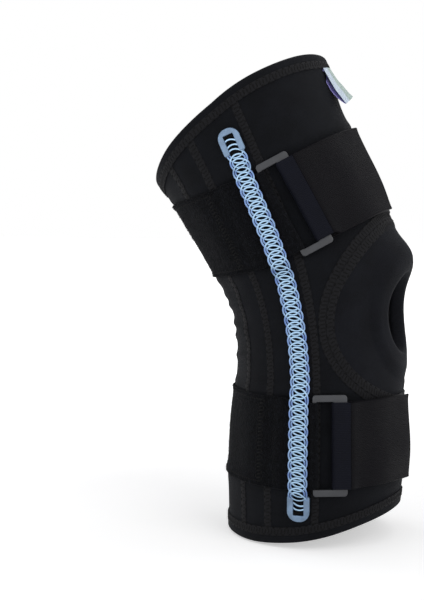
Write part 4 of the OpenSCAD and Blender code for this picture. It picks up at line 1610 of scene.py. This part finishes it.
# ------------------------------------------------------------------ tag
class SewTag(bpy.types.Operator):
    """Sew the folded cloth tag inside the front of the top hem"""

    bl_idname = "knee_brace.sew_tag"
    bl_label = "Sew the tag"

    def execute(self, context):
        settings = context.scene.knee_brace.tag
        borders = ((settings.border_colour, 1.0), (settings.back_border, 0.3))
        front = finish_for("tag_front", woven_satin, settings.tag_colour, settings, *borders[0])
        back = finish_for("tag_back", woven_satin, settings.back_colour, settings, *borders[1])
        wide, long, lift = settings.tag_width / MM, settings.tag_length / MM, settings.tag_lift / MM
        x = np.linspace(-1, 1, 31)[None, :]
        t = np.linspace(0, 1, 51)[:, None]
        u = TAG_ANGLE + degrees_of(wide / 2) * x + 0 * t
        v = top_edge(TAG_ANGLE) - TAG_DROP - 1.3 * x - long * t * (1 + 0.09 * x)
        curl = 0.4 * np.sin(2.6 * t + 1.5 * x) * t + 0.22 * np.sin(11 * t - 1.2 * x) * t
        rise = 0.85 + lift * t**1.3 - 0.5 * x * t + curl
        parted = settings.leaf_gap / MM * (1 - np.abs(2 * t - 1) ** 3) * (0.55 + 0.45 * x)
        for name, drop, finish in (("tag_front", 0.0, front), ("tag_back", 0.32 + parted, back)):
            rows = lay(u, v, rise - drop)
            piece = make_piece(name, band(rows, TAG_THICKNESS), finish)
            turn_outwards(piece)
            if name == "tag_front":
                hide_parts("cloth_tag")
            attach(piece, "thigh")
        return {"FINISHED"}


# ------------------------------------------------------------------ stage
WHITE = (1.0, 1.0, 1.0, 1.0)
BLACK = (0.0, 0.0, 0.0, 1.0)
FLOOR_HALF = 9000
FLOOR_DROP = 0.4
FLOOR_SHOWN = 0.46
# Name, place from the middle of the brace, size, power and tone of each lamp
LAMPS = (
    ("key", (-0.62, -0.95, 0.62), (0.9, 1.1), 16.0, (1.0, 0.985, 0.96)),
    ("fill", (-1.1, 0.35, 0.25), (1.0, 1.2), 10.0, (0.96, 0.98, 1.0)),
    ("front", (0.55, -1.05, 0.15), (0.8, 1.2), 7.0, (0.97, 0.98, 1.0)),
    ("rim", (0.5, 1.05, 0.75), (0.9, 0.9), 9.0, (1.0, 1.0, 1.0)),
    ("overhead", (0.0, 0.0, 1.35), (1.3, 1.3), 12.0, (1.0, 1.0, 1.0)),
)


def plain_stage_finish(name, tone, shown):
    """Pale matt floor that looks white to the camera and keeps soft shadows."""
    made = Finish(name)
    made.colour(tuple(tone))
    made.set(Roughness=0.9, Specular_IOR_Level=0.1)
    away = made.node("ShaderNodeVectorMath", {"operation": "LENGTH"}, i0=made.place()).outputs["Value"]
    strength = made.range(away, shown, 1.0, 0.25, 0.9)
    glow = made.node("ShaderNodeEmission", Color=WHITE, Strength=strength)
    none = made.node("ShaderNodeEmission", Color=BLACK, Strength=0.0)
    lit = made.node("ShaderNodeMixShader", i0=made.seen_directly(), i1=none.outputs[0], i2=glow.outputs[0])
    both = made.node("ShaderNodeAddShader", i0=made.surface.outputs[0], i1=lit.outputs[0])
    made.join(both.outputs[0], made.tree.nodes["Material Output"].inputs["Surface"])
    return made.material


def add_lamp(name, place, aim, size, power, tone):
    """A lamp with a flat face that looks at its aim."""
    lamp = bpy.data.lights.new(name, "AREA")
    lamp.shape = "RECTANGLE"
    lamp.size, lamp.size_y = size
    lamp.energy = power
    lamp.color = tone
    made = placed(name, lamp)
    made.location = place
    made.rotation_euler = (Vector(aim) - Vector(place)).to_track_quat("-Z", "Y").to_euler()


def add_camera(settings):
    """The camera, turned round the knee and then aimed a little to its side."""
    az, el, roll = settings.heading, settings.height, settings.roll
    back = Vector((math.sin(az) * math.cos(el), -math.cos(az) * math.cos(el), math.sin(el)))
    right = Vector((math.cos(az), math.sin(az), 0.0))
    up = right.cross(back) * -1.0
    place = back * settings.distance
    target = right * settings.aim_side + up * settings.aim_up
    toward = (place - target).normalized()
    side = up.cross(toward).normalized()
    tall = toward.cross(side)
    cam_x = side * math.cos(roll) + tall * math.sin(roll)
    cam_y = tall * math.cos(roll) - side * math.sin(roll)
    camera = bpy.data.cameras.new("camera")
    camera.lens = settings.lens
    camera.sensor_width = 36.0
    camera.clip_end = 100.0
    made = placed("camera", camera)
    basis = Matrix((cam_x, cam_y, toward)).transposed().to_4x4()
    made.matrix_world = Matrix.Translation(place) @ basis
    bpy.context.scene.camera = made


def add_room(level):
    """Even light from all round, at full white where it is seen directly."""
    world = bpy.data.worlds.new("room")
    bpy.context.scene.world = world
    world.use_nodes = True
    room = Nodes(world.node_tree)
    room.tree.nodes.clear()
    dim = room.node("ShaderNodeBackground", Color=WHITE, Strength=level)
    full = room.node("ShaderNodeBackground", Color=WHITE, Strength=1.0)
    mix = room.node("ShaderNodeMixShader", i0=room.seen_directly(), i1=dim.outputs[0], i2=full.outputs[0])
    room.node("ShaderNodeOutputWorld", Surface=mix.outputs[0])


class SetStage(bpy.types.Operator):
    """Set the floor, the lamps, the room and the camera"""

    bl_idname = "knee_brace.set_stage"
    bl_label = "Set the stage"

    def execute(self, context):
        scene = context.scene
        settings = scene.knee_brace.stage
        low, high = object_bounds()
        finish = plain_stage_finish("floor", settings.floor_colour, FLOOR_SHOWN)
        x = np.linspace(-FLOOR_HALF, FLOOR_HALF, 13)
        grid = np.stack(np.broadcast_arrays(x[:, None], x[None, :], low[2] / MM - FLOOR_DROP), -1)
        skin = (grid.reshape(-1, 3), mesh_grid(13, 13), grid[..., :2].reshape(-1, 2) * MM)
        make_piece("floor", skin, finish)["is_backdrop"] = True

        add_camera(settings)
        middle = (Vector(low) + Vector(high)) / 2
        for name, way, size, power, tone in LAMPS:
            add_lamp(name, middle + Vector(way), middle, size, power * settings.lamp_level, tone)
        add_room(settings.room_level)
        scene.view_settings.view_transform = "Standard"
        return {"FINISHED"}


STEPS = (
    SewSleeve, SewKneecapPanel, StitchSeams, WindStays, LayBands,
    ThreadStraps, MouldBuckles, SewTag, SetStage,
)
GROUPS = (
    SleeveSettings, StaySettings, StrapSettings, BuckleSettings,
    TagSettings, StageSettings, KneeBraceSettings,
)


class KneeBracePanel(bpy.types.Panel):
    """Steps and sizes of the knee brace"""

    bl_idname = "VIEW3D_PT_knee_brace"
    bl_label = "Knee Brace"
    bl_space_type = "VIEW_3D"
    bl_region_type = "UI"
    bl_category = "Knee Brace"

    def draw(self, context):
        settings = context.scene.knee_brace
        for step in STEPS:
            self.layout.operator(step.bl_idname)
        for part in settings.bl_rna.properties.keys():
            group = getattr(settings, part)
            if not isinstance(group, bpy.types.PropertyGroup):
                continue
            box = self.layout.box()
            box.label(text=part.capitalize())
            for key in group.__annotations__:
                box.prop(group, key)


CLASSES = GROUPS + STEPS + (KneeBracePanel,)


def register():
    for each in CLASSES:
        bpy.utils.register_class(each)
    bpy.types.Scene.knee_brace = PointerProperty(type=KneeBraceSettings)


def unregister():
    del bpy.types.Scene.knee_brace
    for each in reversed(CLASSES):
        bpy.utils.unregister_class(each)


def main():
    register()
    bpy.ops.knee_brace.sew_sleeve()
    bpy.ops.knee_brace.sew_kneecap_panel()
    bpy.ops.knee_brace.stitch_seams()
    bpy.ops.knee_brace.wind_stays()
    bpy.ops.knee_brace.lay_bands()
    bpy.ops.knee_brace.thread_straps()
    bpy.ops.knee_brace.mould_buckles()
    bpy.ops.knee_brace.sew_tag()
    bpy.ops.knee_brace.set_stage()


if __name__ == "__main__":
    main()
